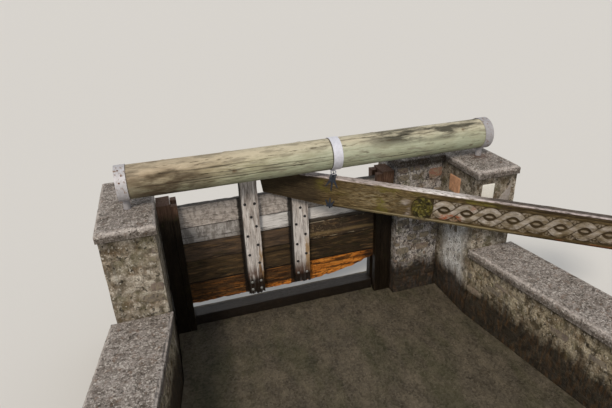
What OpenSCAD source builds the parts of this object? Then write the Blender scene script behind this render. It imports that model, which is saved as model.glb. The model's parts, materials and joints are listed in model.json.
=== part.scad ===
// Timber sluice gate with a carved lifting lever, on its masonry channel.
// X runs along the gate, to the right as seen from downstream. Y points upstream.
// Z is up. The origin is under the middle of the gate's downstream board face.

/* [Channel] */
// Clear width between the guide posts
clear_w = 1950; // [1700:10:2300]
// Level of the pier and gate wall tops above the underside
abutment_h = 1710; // [1680:10:1900]
// Thickness of the channel floor
floor_t = 150; // [100:5:180]
// Height of the downstream channel walls, coping included
channel_h = 910; // [700:10:930]
// Thickness of the downstream channel walls
channel_wall_t = 450; // [350:10:550]
// Distance from the gate face to the downstream end of the channel
channel_run = 2700; // [2000:50:3200]
// Outward turn of each channel wall, in degrees
flare = 9.5; // [4:0.5:14]

/* [Piers and gate wall] */
// Length of the right gate wall between guide post and pier
gate_wall_w = 520; // [450:10:600]
// How far the gate wall stands in front of the gate face
gate_wall_front = 160; // [120:5:200]
// How far the abutments reach upstream of the gate face
abutment_back = 340; // [250:10:450]
// Width of each pier
pier_w = 440; // [400:10:560]
// How far the piers stand in front of the gate face
pier_front = 710; // [600:10:800]
// Thickness of the concrete caps
cap_t = 80; // [50:5:110]
// Overhang of the pier caps
cap_lip = 5; // [2:1:30]
// Bevel along the upper edges of the pier caps
cap_bevel = 26; // [10:1:34]
// Thickness of the channel wall copings
coping_t = 90; // [60:5:120]
// Overhang of the copings over the channel
coping_lip = 18; // [8:1:30]
// Bevel along the upper edges of the copings
coping_bevel = 14; // [5:1:24]

/* [Guides and sill] */
// Width of a guide post with its battens
post_w = 185; // [160:5:220]
// Depth of the groove that holds the board ends
groove_d = 60; // [50:1:80]
// Thickness of the downstream guide battens
front_batten_t = 65; // [50:1:80]
// Thickness of the upstream guide battens
rear_batten_t = 85; // [60:1:110]
// Level of the post tops
post_top = 1570; // [1520:5:1600]
// How far the battens stop below the post tops
batten_drop = 18; // [5:1:40]
// Height of the sill beam above the channel floor
sill_h = 120; // [100:5:160]
// Width of the sill beam
sill_w = 150; // [110:5:200]

/* [Gate] */
// Thickness of the gate boards
board_t = 60; // [45:1:70]
// Height of board 1, the top one
board_1_h = 221; // [190:1:240]
// Height of board 2
board_2_h = 169; // [150:1:190]
// Height of board 3
board_3_h = 199; // [170:1:220]
// Height of board 4
board_4_h = 239; // [210:1:250]
// Height of board 5, the bottom one
board_5_h = 247; // [215:1:260]
// How far the board ends reach into the grooves
board_bite = 40; // [30:1:45]
// Bevel along the long edges of the boards
board_bevel = 4; // [2:0.5:8]
// Start of the wear in the bottom board's lower edge, right of the middle
wear_start = 200; // [100:10:300]
// Rise of the worn edge at the right guide post
wear_rise = 152; // [80:1:165]
// Width of the stiles
stile_w = 170; // [140:1:190]
// Thickness of the stiles
stile_t = 65; // [50:1:80]
// Height of the left stile's foot above the boards' lower edge
left_stile_lift = 11; // [0:1:40]
// Height of the right stile's foot above the boards' lower edge
right_stile_lift = 45; // [20:1:80]
// Distance of the left stile from the lifting point
left_stile_off = 203; // [190:1:230]
// Distance of the right stile from the lifting point
right_stile_off = 284; // [260:1:310]
// Length of the stiles above the lift bar
stile_head = 85; // [60:1:100]
// Diameter of the lift bar
lift_bar_d = 30; // [24:1:36]
// How far the gate stands open in this position
rest_open = 150; // [150:1:160]

/* [Log and bands] */
// Diameter of the log
log_d = 280; // [240:5:300]
// Distance of the log's axis in front of the gate face
log_set = 321; // [310:1:340]
// Distance of the left log seat from the left pier's channel face
left_seat = 204; // [150:1:240]
// Distance of the right log seat from the right pier's channel face
right_seat = 254; // [150:1:300]
// Width of the iron bands
band_w = 85; // [60:1:100]
// Thickness of the iron bands
band_t = 6; // [4:0.5:10]
// Height of the stubs that carry the end bands
stub_h = 79; // [65:1:100]
// Diameter of the stubs
stub_d = 58; // [45:1:70]

/* [Hanger] */
// Position of the hanger along the gate, from the middle
hanger_x = 420; // [400:1:440]
// Bar diameter of the ring link
link_bar_d = 11; // [9:0.5:12]
// Radius of the ring link's bar centre line
link_r = 21.5; // [20.5:0.1:23]
// Bar diameter of the eye under the middle band
band_eye_d = 10; // [8:0.5:11]
// Bar diameter of the eye bolt's loop
loop_bar_d = 11; // [9:0.5:12]
// Diameter of the eye bolt's shank
shank_d = 16; // [12:1:18]

/* [Lever] */
// Depth of the lever plank
lever_h = 285; // [260:5:300]
// Thickness of the lever plank
lever_t = 90; // [75:1:95]
// Depth of the plank at its short end
lever_tip_h = 240; // [210:5:255]
// Length of the long arm, from the hanger
arm_len = 2750; // [2400:10:3000]
// Turn of the lever away from the gate, seen from above, in degrees
lever_yaw = 28; // [27:0.5:29]
// Fall of the long arm in this position, in degrees
lever_tilt = 6.6; // [6:0.1:7.2]
// Length of the short end beyond the lifting point
tip_over = 84; // [60:1:90]
// How much shorter the plank's lower edge is at its slanted short end
tip_undercut = 62; // [50:1:80]
// Drop of the upper edge from the lifting point to the short end
tip_drop = 15; // [12:1:24]
// Radius of the nose that carries the lift bar
nose_r = 30; // [24:1:32]
// Height of the nose above the plank's top edge
nose_h = 16; // [14:1:18]
// Start of the carved field on the long arm, from the hanger
field_start = 720; // [680:5:760]
// Distance of the carved field from the long arm's end
field_end = 210; // [150:5:260]
// Height of the carved field
field_h = 186; // [150:2:190]
// Depth of the carved field
field_d = 9; // [5:1:14]
// Height of the plank's edge above the carved field
field_top = 62; // [50:1:66]
// Bevel along the lower front edge of the long arm
moulding = 19; // [12:1:24]

/* [Forged claws] */
// Thickness of the claw straps
claw_t = 4; // [3:0.5:5]
// Width of the straps across the lever's edges
claw_w = 58; // [48:1:70]
// Length of the upper claw's middle finger
upper_claw_l = 128; // [100:1:150]
// Length of the lower claw's middle finger
lower_claw_l = 92; // [70:1:110]

/* [Hidden] */
$fn = 64;

// Clearances
slide_gap = 5;    // between the sliding gate and its guides and sill
fit_gap = 0.3;    // between round pieces that bear on each other
ride_gap = 0.6;   // between the lift bar and the lever's nose

// Stations across the channel
half_w = clear_w / 2;
groove_x = half_w + groove_d;
bank_x = half_w + post_w;               // faces that the posts stand against
pier_x = bank_x + gate_wall_w;          // right pier's channel face
cap_z = abutment_h - cap_t;
flare_k = tan(flare);

// Guides, with their front face in line with the battens
guide_front = -(slide_gap + front_batten_t);
guide_back = board_t + slide_gap + rear_batten_t;
sill_top = floor_t + sill_h;
sill_front = slide_gap;

// Gate boards, from the top down
board_hs = [board_1_h, board_2_h, board_3_h, board_4_h, board_5_h];
function sum_from(v, i) = i < len(v) ? v[i] + sum_from(v, i + 1) : 0;
gate_bottom = sill_top + slide_gap + rest_open;
function board_low(i) = gate_bottom + sum_from(board_hs, i + 1);
board_half = half_w + board_bite;

// Log on its stubs
band_r = log_d / 2 + fit_gap;
stub_top = abutment_h + stub_h;
log_z = stub_top + fit_gap + band_t + band_r;
left_band_x = -(bank_x + left_seat);
right_band_x = pier_x + right_seat;
log_x0 = left_band_x - band_w / 2;
log_x1 = right_band_x + band_w / 2;

// Hanger: band eye, ring link, eye bolt loop, each hooked in the one above
link_clear = 5.4;                        // band to ring link, and link to eye bolt collar
link_top = log_z - band_r - band_t - link_clear;
link_z = link_top - link_bar_d / 2 - link_r;
band_eye_z = link_z + link_r - (link_bar_d + band_eye_d) / 2 - fit_gap;
pivot_z = link_z - link_r + (link_bar_d + loop_bar_d) / 2 + fit_gap;
leg_gap = 18;                            // eye legs from the hanger's middle
bend_r = 9;                              // bends between eye bar and legs
collar_t = 5;
collar_z = link_z - link_r - link_bar_d / 2 - link_clear;   // collar's upper face
lever_top = pivot_z - (collar_z - collar_t - claw_t);       // pivot above the plank's edge

// Lifting point: the nose's centre line crosses the lift bar above the lever's middle
bar_y = -stile_t / 2;
nose_drop = lever_top - nose_h + nose_r;
nose_run = (bar_y + log_set) / sin(lever_yaw);
nose_a = (nose_run - nose_drop * sin(lever_tilt)) / cos(lever_tilt);
nose_z = pivot_z + nose_a * sin(lever_tilt) - nose_drop * cos(lever_tilt);
lift_x = hanger_x - nose_run * cos(lever_yaw);
bar_z = nose_z + nose_r + lift_bar_d / 2 + ride_gap;
tip_u = -(nose_a + tip_over);
left_stile_x = lift_x - left_stile_off;
right_stile_x = lift_x + right_stile_off;
stile_top = bar_z + stile_head;
bar_over = 34;                           // lift bar beyond each stile
washer_d = 62;
washer_t = 6;
nut_d = 50;
nut_t = 22;

// Box between two corners
module block(low, high) {
    translate(low) cube(high - low);
}

// Slab between two corners with its upper edges bevelled
module capped_block(low, high, bevel) {
    inset = [bevel, bevel, 0];
    hull() {
        block(low, [high.x, high.y, high.z - bevel]);
        block(low + inset, high - inset);
    }
}

// Strip along a channel wall: a section in (across, up), run downstream, ends cut across the channel.
// across is 0 on the wall's channel face and grows into the bank.
module flared_run(start_x, section) {
    run = (channel_run - pier_front) / cos(flare);
    over = 400;
    intersection() {
        translate([start_x, -pier_front, 0]) rotate([0, 0, flare])
            translate([0, over, 0]) rotate([90, 0, 0])
                linear_extrude(run + 2 * over) polygon(section);
        block([-6000, -channel_run, -10], [6000, -pier_front, 3000]);
    }
}

module channel_wall(start_x) {
    top = channel_h - coping_t;
    flared_run(start_x, [[0, 0], [channel_wall_t, 0], [channel_wall_t, top], [0, top]]);
}

module wall_coping(start_x) {
    low = channel_h - coping_t;
    inner = -coping_lip;
    outer = channel_wall_t + coping_lip;
    flared_run(start_x, [[inner, low], [outer, low], [outer, channel_h - coping_bevel],
        [outer - coping_bevel, channel_h], [inner + coping_bevel, channel_h],
        [inner, channel_h - coping_bevel]]);
}

module guide_post() {
    block([groove_x, guide_front, floor_t], [bank_x, guide_back, post_top]);
}

module guide_batten(y0, y1) {
    block([half_w, y0, floor_t], [groove_x, y1, post_top - batten_drop]);
}

module gate_board(i) {
    low = board_low(i);
    high = low + board_hs[i];
    b = board_bevel;
    translate([-board_half, 0, 0]) rotate([90, 0, 90])
        linear_extrude(2 * board_half)
            polygon([[b, low], [board_t - b, low], [board_t, low + b], [board_t, high - b],
                [board_t - b, high], [b, high], [0, high - b], [0, low + b]]);
}

// The bottom board's lower edge is worn away in an arc that rises to the right guide post
module worn_board(i) {
    run = half_w - wear_start;
    r = (run * run + wear_rise * wear_rise) / (2 * wear_rise);
    low = board_low(i);
    difference() {
        gate_board(i);
        difference() {
            block([wear_start, -10, low - 10],
                [board_half + 10, board_t + 10, low + 0.9 * board_hs[i]]);
            translate([wear_start, -20, low + r - 1]) rotate([-90, 0, 0])
                cylinder(r = r, h = board_t + 40, $fn = 240);
        }
    }
}

module stile(x, foot) {
    difference() {
        block([x - stile_w / 2, -stile_t, foot], [x + stile_w / 2, 0, stile_top]);
        translate([x - stile_w, bar_y, bar_z]) rotate([0, 90, 0])
            cylinder(d = lift_bar_d + 2 * fit_gap, h = 2 * stile_w);
    }
}

module lift_bar() {
    x0 = left_stile_x - stile_w / 2;
    x1 = right_stile_x + stile_w / 2;
    color("#5a524c") {
        translate([x0 - bar_over, bar_y, bar_z]) rotate([0, 90, 0])
            cylinder(d = lift_bar_d, h = x1 - x0 + 2 * bar_over);
        for (x = [x0 - washer_t, x1])
            translate([x, bar_y, bar_z]) rotate([0, 90, 0]) cylinder(d = washer_d, h = washer_t);
        for (x = [x0 - washer_t - nut_t, x1 + washer_t])
            translate([x, bar_y, bar_z]) rotate([0, 90, 0]) cylinder(d = nut_d, h = nut_t, $fn = 6);
    }
}

module band(x) {
    translate([x - band_w / 2, -log_set, log_z]) rotate([0, 90, 0])
        difference() {
            cylinder(r = band_r + band_t, h = band_w, $fn = 96);
            translate([0, 0, -1]) cylinder(r = band_r, h = band_w + 2, $fn = 96);
        }
}

// Loop of round bar in the local YZ plane: a straight bar along Y at height 0, two bends
// and two legs that reach up or down by leg
module bar_loop(d, leg, up) {
    s = up ? 1 : -1;
    flat = leg_gap - bend_r;
    rotate([90, 0, 0]) cylinder(d = d, h = 2 * flat, center = true);
    for (side = [-1, 1]) {
        translate([0, side * flat, s * bend_r])
            rotate([side > 0 ? 0 : 180, up ? -90 : 90, 0])
                rotate([0, 0, up ? (side > 0 ? 0 : 90) : (side > 0 ? 90 : 0)])
                    rotate_extrude(angle = 90, $fn = 64) translate([bend_r, 0]) circle(d = d);
        translate([0, side * leg_gap, up ? bend_r : -leg])
            cylinder(d = d, h = leg - bend_r);
    }
}

// Place of the hanger, with local Y along the lever's hinge line
module at_hanger(z) {
    translate([hanger_x, -log_set, z]) rotate([0, 0, -lever_yaw]) children();
}

module middle_band() {
    color("#c3c4cc") {
        band(hanger_x);
        difference() {
            at_hanger(band_eye_z) bar_loop(band_eye_d, 2 * link_r, true);
            translate([hanger_x - band_w, -log_set, log_z]) rotate([0, 90, 0])
                cylinder(r = band_r + band_t / 2, h = 2 * band_w, $fn = 96);
        }
    }
}

module ring_link() {
    color("#b9bac2") at_hanger(link_z) rotate([90, 0, 0])
        rotate_extrude($fn = 96) translate([link_r, 0]) circle(d = link_bar_d, $fn = 32);
}

module stub(x) {
    difference() {
        translate([x, -log_set, abutment_h]) cylinder(d = stub_d, h = stub_h + stub_d / 4);
        translate([x - band_w, -log_set, log_z]) rotate([0, 90, 0])
            cylinder(r = band_r + band_t + fit_gap, h = 2 * band_w, $fn = 96);
    }
}

// Lever frame: u along the plank to the right, v up across it, w upstream through it
module in_lever() {
    translate([hanger_x, -log_set, pivot_z]) rotate([0, 0, -lever_yaw])
        rotate([0, lever_tilt, 0]) children();
}

// Sheet in the lever's plane, from an outline in (u, v), between two values of w
module lever_sheet(w0, w1) {
    translate([0, w1, 0]) rotate([90, 0, 0]) linear_extrude(w1 - w0) children();
}

// Plank outline: the depth falls off towards the slanted short end, and the far end is rounded
module lever_outline() {
    top = -lever_top;
    low = top - lever_h;
    r = lever_h * 0.3;
    polygon([[tip_u + tip_undercut, top - lever_tip_h], [0, low], [arm_len - r, low],
        for (k = [1:6]) [arm_len - r + r * sin(15 * k), low + r - r * cos(15 * k)],
        for (k = [0:5]) [arm_len - r + r * cos(15 * k), top - r + r * sin(15 * k)],
        [arm_len - r, top], [-nose_a, top], [tip_u, top - tip_drop]]);
    translate([-nose_a, -nose_drop]) circle(r = nose_r, $fn = 96);
}

module lever_beam() {
    top = -lever_top;
    low = top - lever_h;
    face = -lever_t / 2;
    field_low = top - field_top - field_h;
    field_run = arm_len - field_end - field_start;
    color("#6b5a38") in_lever() difference() {
        lever_sheet(-lever_t / 2, lever_t / 2) lever_outline();
        // Carved field, with round ends
        lever_sheet(face - 10, face + field_d) {
            translate([field_start + field_h / 2, field_low])
                square([field_run - field_h, field_h]);
            for (u = [field_start + field_h / 2, arm_len - field_end - field_h / 2])
                translate([u, field_low + field_h / 2]) circle(d = field_h, $fn = 96);
        }
        // Bevelled lower front edge of the long arm
        translate([-10, face, low]) rotate([45, 0, 0])
            cube([arm_len + 20, moulding * sqrt(2), moulding * sqrt(2)], center = false);
        // Hole for the eye bolt's shank
        translate([0, 0, low - 10]) cylinder(d = shank_d + 2 * fit_gap, h = lever_h + 20);
    }
}

module eye_bolt() {
    plank_low = -lever_top - lever_h;
    collar_low = -lever_top + claw_t;
    tail = plank_low - claw_t - 34;
    color("#4a4e56") in_lever() {
        bar_loop(loop_bar_d, lever_top - claw_t - collar_t / 2, false);
        block([-10, -leg_gap - 8, collar_low], [10, leg_gap + 8, collar_low + collar_t]);
        translate([0, 0, tail]) cylinder(d = shank_d, h = collar_low + collar_t / 2 - tail);
        translate([0, 0, plank_low - claw_t - nut_t * 0.7])
            cylinder(d = 1.9 * shank_d, h = nut_t * 0.7, $fn = 6);
    }
}

// Tapered finger that starts at the local origin and points down
module finger(l, w, lean) {
    rotate(lean) {
        polygon([[-w / 2, 4], [w / 2, 4], [w / 6, -l + w / 6], [-w / 6, -l + w / 6]]);
        translate([0, -l + w / 6]) circle(d = w / 3, $fn = 24);
    }
}

// Forged claw: a strap across the plank's edge, turned down both faces in three fingers
module claw(l) {
    root = 26;
    finger_w = claw_w * 0.4;
    face = lever_t / 2 + fit_gap;
    block([-claw_w / 2, -face - claw_t, 0], [claw_w / 2, face + claw_t, claw_t]);
    for (w0 = [-face - claw_t, face]) lever_sheet(w0, w0 + claw_t) {
        translate([-claw_w / 2, -root]) square([claw_w, root + claw_t / 2]);
        translate([0, -root]) finger(l - root, finger_w, 0);
        translate([-claw_w * 0.33, -root]) finger((l - root) * 0.72, finger_w, -30);
        translate([claw_w * 0.33, -root]) finger((l - root) * 0.72, finger_w, 30);
    }
}

module upper_claw() {
    color("#3f4754") in_lever() translate([0, 0, -lever_top]) difference() {
        claw(upper_claw_l);
        translate([0, 0, -1]) cylinder(d = shank_d + 2 * fit_gap, h = claw_t + 2);
    }
}

module lower_claw() {
    color("#3f4754") in_lever() translate([0, 0, -lever_top - lever_h]) mirror([0, 0, 1])
        difference() {
            claw(lower_claw_l);
            translate([0, 0, -1]) cylinder(d = shank_d + 2 * fit_gap, h = claw_t + 2);
        }
}

module floor_slab() {
    run = channel_run - pier_front;
    color("#77706a") linear_extrude(floor_t)
        polygon([[-bank_x, abutment_back], [bank_x, abutment_back],
            [bank_x, -gate_wall_front], [pier_x, -gate_wall_front], [pier_x, -pier_front],
            [pier_x + run * flare_k, -channel_run], [-bank_x - run * flare_k, -channel_run],
            [-bank_x, -pier_front]]);
}

module sill_beam() {
    color("#4a3a28")
        block([-half_w, sill_front, floor_t], [half_w, sill_front + sill_w, sill_top]);
}

module right_gate_wall() {
    color("#6e665a")
        block([bank_x, -gate_wall_front, 0], [pier_x, abutment_back, cap_z]);
}

module right_gate_wall_cap() {
    color("#8a8278")
        block([bank_x, -gate_wall_front - cap_lip, cap_z],
            [pier_x - cap_lip, abutment_back, abutment_h]);
}

module pier(x) {
    color("#8a827a") block([x, -pier_front, 0], [x + pier_w, abutment_back, cap_z]);
}

module pier_cap(x) {
    color("#8f877d")
        capped_block([x - cap_lip, -pier_front - cap_lip, cap_z],
            [x + pier_w + cap_lip, abutment_back + cap_lip, abutment_h], cap_bevel);
}

module log_beam() {
    bevel = 6;
    color("#9c9a74") translate([log_x0, -log_set, log_z]) rotate([0, 90, 0])
        rotate_extrude($fn = 96)
            polygon([[0, 0], [log_d / 2 - bevel, 0], [log_d / 2, bevel],
                [log_d / 2, log_x1 - log_x0 - bevel], [log_d / 2 - bevel, log_x1 - log_x0],
                [0, log_x1 - log_x0]]);
}

floor_slab();
sill_beam();
right_gate_wall();
right_gate_wall_cap();
pier(pier_x);  // right_pier
pier_cap(pier_x);  // right_pier_cap
pier(-bank_x - pier_w);  // left_pier
pier_cap(-bank_x - pier_w);  // left_pier_cap
color("#6e665a") channel_wall(pier_x);  // right_channel_wall
color("#8d8475") wall_coping(pier_x);  // right_wall_coping
color("#6e665a") mirror([1, 0, 0]) channel_wall(bank_x);  // left_channel_wall
color("#8d8475") mirror([1, 0, 0]) wall_coping(bank_x);  // left_wall_coping
color("#3a3026") guide_post();  // right_guide_post
color("#3a3026") guide_batten(guide_front, -slide_gap);  // right_front_batten
color("#3a3026") guide_batten(board_t + slide_gap, guide_back);  // right_rear_batten
color("#3a3026") mirror([1, 0, 0]) guide_post();  // left_guide_post
color("#3a3026") mirror([1, 0, 0]) guide_batten(guide_front, -slide_gap);  // left_front_batten
color("#3a3026") mirror([1, 0, 0]) guide_batten(board_t + slide_gap, guide_back);  // left_rear_batten
log_beam();
color("#c3c4cc") band(left_band_x);  // left_band
middle_band();
color("#c3c4cc") band(right_band_x);  // right_band
color("#b5b3ae") stub(left_band_x);  // left_stub
color("#b5b3ae") stub(right_band_x);  // right_stub
ring_link();
color("#8e8580") gate_board(0);  // gate_board_1
color("#c2c0be") gate_board(1);  // gate_board_2
color("#4a3a2a") gate_board(2);  // gate_board_3
color("#3a2a1c") gate_board(3);  // gate_board_4
color("#b5651d") worn_board(4);  // gate_board_5
color("#b5aca6") stile(left_stile_x, gate_bottom + left_stile_lift);  // left_stile
color("#b5aca6") stile(right_stile_x, gate_bottom + right_stile_lift);  // right_stile
lift_bar();
lever_beam();
eye_bolt();
upper_claw();
lower_claw();
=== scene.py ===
"""Timber sluice gate with a carved lifting lever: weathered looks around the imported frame."""

import json
import math
import random

import bmesh
import bpy
from mathutils import Matrix, Vector, noise


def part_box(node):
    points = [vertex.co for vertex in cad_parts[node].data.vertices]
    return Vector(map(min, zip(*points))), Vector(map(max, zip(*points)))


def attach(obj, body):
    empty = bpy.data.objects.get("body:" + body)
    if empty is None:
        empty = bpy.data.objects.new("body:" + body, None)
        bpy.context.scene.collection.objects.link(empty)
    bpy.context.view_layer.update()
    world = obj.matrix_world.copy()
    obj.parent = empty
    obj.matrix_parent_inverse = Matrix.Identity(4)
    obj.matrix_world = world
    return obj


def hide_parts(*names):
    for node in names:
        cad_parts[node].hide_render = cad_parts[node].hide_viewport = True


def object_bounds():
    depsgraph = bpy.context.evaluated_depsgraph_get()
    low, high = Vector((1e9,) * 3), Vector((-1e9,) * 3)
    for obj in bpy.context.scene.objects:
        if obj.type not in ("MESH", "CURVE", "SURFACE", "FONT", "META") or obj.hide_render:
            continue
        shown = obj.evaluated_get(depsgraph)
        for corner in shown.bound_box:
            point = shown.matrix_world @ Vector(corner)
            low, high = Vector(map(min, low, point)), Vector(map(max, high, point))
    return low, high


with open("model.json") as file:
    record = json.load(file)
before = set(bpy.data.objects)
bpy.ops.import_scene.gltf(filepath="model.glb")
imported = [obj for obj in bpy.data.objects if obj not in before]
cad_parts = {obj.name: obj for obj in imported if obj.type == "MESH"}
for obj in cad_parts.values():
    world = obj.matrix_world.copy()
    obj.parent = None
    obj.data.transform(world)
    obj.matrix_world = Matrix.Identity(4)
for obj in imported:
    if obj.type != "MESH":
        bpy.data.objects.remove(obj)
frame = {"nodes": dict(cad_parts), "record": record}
CAD_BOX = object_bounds()

bl_info = {
    "name": "Sluice gate",
    "version": (1, 0, 0),
    "blender": (4, 5, 0),
    "location": "3D View > Sidebar > Sluice gate",
    "description": "Weathered timber, iron and masonry of a small hand-worked sluice gate",
    "category": "Add Mesh",
}

# Lever: its hinge line and turn come from the record, its fall at rest from the part
LEVER = next(j for j in frame["record"]["behaviour"]["joints"] if j["name"] == "lever_tilt")
LEVER_YAW = math.asin(LEVER["axis"][0])
LEVER_FALL = math.radians(6.6)
LEVER_MATRIX = (Matrix.Translation(LEVER["pos_m"]) @ Matrix.Rotation(-LEVER_YAW, 4, "Z")
                @ Matrix.Rotation(LEVER_FALL, 4, "Y"))

# The plank: its ends along it from the hanger, its upper edge above the hinge line
LEVER_TIP = -0.6974
LEVER_END = 2.75
LEVER_TOP = -0.0312
LEVER_DEPTH = 0.285
LEVER_TIP_DEPTH = 0.24
LEVER_HALF = 0.045

# The short end: its lower corner lies back, its upper edge drops beyond a round nose
LEVER_UNDERCUT = 0.062
LEVER_UNDERCUT_RUN = 0.25
LEVER_TIP_DROP = 0.015
NOSE_ALONG = -0.6134
NOSE_HEIGHT = -0.0452
NOSE_RADIUS = 0.03

# The carving: places along the plank, and below its upper edge
BRAID_EYE = 1.017
BRAID_CENTRE = 0.155
FIELD_START = 0.73
FIELD_STOP = 2.54
FIELD_HALF = 0.093
ROSETTE_ALONG = 0.828
ROSETTE_DOWN = 0.165
ROSETTE_HALF_LENGTH = 0.097
ROSETTE_HALF_HEIGHT = 0.112
QUIRK_DOWN = 0.256
LOWER_BEVEL = 0.019

# Long cracks in the plank's face: start, stop, distance below the upper edge, half width
FACE_CRACKS = ((0.95, 2.7, 0.034, 0.00585), (-0.3, 0.45, 0.085, 0.0039),
               (1.6, 2.5, 0.014, 0.0039), (-0.55, -0.1, 0.15, 0.00455))

# Channel walls turn outwards from the piers by this much for each metre to the front
FLARE = math.tan(math.radians(9.5))
FLARE_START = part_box("right_pier")[0].y
WALL_THICKNESS = 0.456
COPING_LIP = 0.018


def linear(colour):
    """Linear RGBA of an sRGB hex value."""
    parts = [int(colour[i:i + 2], 16) / 255 for i in (1, 3, 5)]
    return tuple(p / 12.92 if p <= 0.04045 else ((p + 0.055) / 1.055) ** 2.4
                 for p in parts) + (1.0,)


def colour_property(name, description, colour):
    """A colour property whose default is an sRGB hex value."""
    return bpy.props.FloatVectorProperty(
        name=name, description=description, default=linear(colour), size=4,
        min=0.0, max=1.0, subtype="COLOR")


def length_property(name, description, default):
    """A length property in metres."""
    return bpy.props.FloatProperty(
        name=name, description=description, default=default, min=0.0,
        subtype="DISTANCE", unit="LENGTH")


class SluiceTimberSettings(bpy.types.PropertyGroup):
    """Sizes of the weathered timber."""

    log_lump: length_property(
        "Log unevenness", "How far the log's surface departs from round", 0.0025)
    check_depth: length_property(
        "Check depth", "Depth of the drying checks along the log", 0.011)
    board_relief: length_property(
        "Board relief", "Depth to which the soft grain of boards and posts is washed out", 0.003)
    ragged: length_property(
        "Ragged edge", "Depth of the chips along the timbers' arrises", 0.006)
    braid_pitch: length_property(
        "Braid pitch", "Distance between the eyes of the carved braid", 0.197)
    braid_band: length_property(
        "Braid band width", "Width of each carved band", 0.055)
    carving_depth: length_property(
        "Carving depth", "Depth of the carved field below the lever's face", 0.012)
    bolt_head: length_property(
        "Bolt head", "Diameter of the coach bolt heads on the stiles", 0.027)


class SluiceStoneSettings(bpy.types.PropertyGroup):
    """Sizes of the masonry."""

    stone_length: length_property(
        "Stone length", "Mean length of a rubble stone in the wall face", 0.19)
    stone_height: length_property(
        "Stone height", "Mean height of a rubble course", 0.115)
    joint: length_property(
        "Joint width", "Width of the mortar joints", 0.016)
    chip: length_property(
        "Chip depth", "Depth of the chips along caps and copings", 0.016)


class SluiceColours(bpy.types.PropertyGroup):
    """Main colours of the materials."""

    log: colour_property("Log", "Bleached sapwood of the log", "#C5BA9C")
    grey_board: colour_property("Top board", "Weathered top board", "#C2B9B2")
    pale_board: colour_property("Second board", "Bleached second board", "#DEDBD9")
    wet_board: colour_property("Wet boards", "Boards below the old wet line", "#443624")
    rotten_board: colour_property("Bottom board", "Rotten bottom board", "#C9792B")
    stile: colour_property("Stiles", "Bleached stiles", "#BDB4AD")
    lever: colour_property("Lever", "Weathered face of the lever", "#645436")
    carved_band: colour_property("Carved bands", "Worn tops of the carving", "#CCC0AE")
    galvanised: colour_property("Galvanised iron", "Bands, stubs and ring", "#DADBE4")
    forged: colour_property("Forged iron", "Claws, eye bolt and lift bar", "#23272F")
    render: colour_property("Render", "Lime render between the stones", "#B3A897")
    concrete: colour_property("Concrete", "Caps and copings", "#C6BDB6")


# Node helpers

def add(tree, kind, inputs=None, stops=None, **settings):
    """Adds a node, with its own settings, its colour stops, and its inputs filled or linked.

    A node that is given as an input stands for its first output.
    """
    made = tree.nodes.new(kind)
    for key, value in settings.items():
        setattr(made, key, value)
    for key, value in (inputs or {}).items():
        if isinstance(value, bpy.types.Node):
            value = value.outputs[0]
        if isinstance(value, bpy.types.NodeSocket):
            tree.links.new(value, made.inputs[key])
        else:
            made.inputs[key].default_value = value
    if stops:
        ramp = made.color_ramp.elements
        while len(ramp) < len(stops):
            ramp.new(0.5)
        for element, (position, colour) in zip(ramp, stops):
            element.position = position
            element.color = linear(colour) if isinstance(colour, str) else colour
    return made


def open_material(name):
    """A new material's tree, and the Object coordinates in it."""
    material = bpy.data.materials.new(name)
    material.use_nodes = True
    tree = material.node_tree
    tree.nodes.clear()
    return material, tree, add(tree, "ShaderNodeTexCoord").outputs["Object"]


def close_material(tree, colour, roughness, height=None, relief=0.002, **more):
    """Ends a material in its surface shader, with bump from a height where there is one.

    A Metallic value makes it metal; the rest is porous, and shows less gloss than its IOR gives.
    """
    inputs = {"Base Color": colour, "Roughness": roughness, **more}
    if "Metallic" not in more:
        inputs["Specular IOR Level"] = 0.2
    if height is not None:
        bump = add(tree, "ShaderNodeBump", {"Height": height, "Distance": relief})
        inputs["Normal"] = bump
    shader = add(tree, "ShaderNodeBsdfPrincipled", inputs)
    add(tree, "ShaderNodeOutputMaterial", {"Surface": shader})


def patches(tree, vector, size, low, high, detail=5.0, stretch=(1, 1, 1), shift=0.0):
    """A mask of patches of about the given size in metres, 0 below low and 1 above high."""
    spread = add(tree, "ShaderNodeMapping", {
        "Vector": vector, "Scale": stretch, "Location": (shift, shift * 0.7, shift * 1.3)})
    cloud = add(tree, "ShaderNodeTexNoise", {
        "Vector": spread, "Scale": 1 / size, "Detail": detail, "Roughness": 0.62})
    return add(tree, "ShaderNodeMapRange", {"Value": cloud, "From Min": low, "From Max": high})


def crack_lines(tree, vector, stretch, scale, detail, roughness, width, start=(0, 0, 0)):
    """A mask of thin lines that wander along the axis which the stretch draws out."""
    spread = add(tree, "ShaderNodeMapping", {"Vector": vector, "Scale": stretch, "Location": start})
    wander = add(tree, "ShaderNodeTexNoise", {
        "Vector": spread, "Scale": scale, "Detail": detail, "Roughness": roughness})
    off = add(tree, "ShaderNodeMath", {0: wander, 1: 0.5}, operation="SUBTRACT")
    away = add(tree, "ShaderNodeMath", {0: off}, operation="ABSOLUTE")
    return add(tree, "ShaderNodeMapRange", {"Value": away, "From Min": width, "From Max": 0.002})


def laid_over(tree, base, layers):
    """A base colour with others laid over it: each has a mask, a colour, and what weakens it."""
    for mask, colour, *factors in layers:
        for factor in factors:
            mask = add(tree, "ShaderNodeMath", {0: mask, 1: factor}, operation="MULTIPLY")
        if isinstance(colour, str):
            colour = linear(colour)
        base = add(tree, "ShaderNodeMix", {0: mask, 6: base, 7: colour},
                   data_type="RGBA").outputs[2]
    return base


def along_axis(tree, coords, axis, start, stop):
    """A mask that grows from 0 to 1 between two places on one axis."""
    place = add(tree, "ShaderNodeSeparateXYZ", {0: coords}).outputs[axis]
    return add(tree, "ShaderNodeMapRange", {"Value": place, "From Min": start, "From Max": stop})


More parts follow.
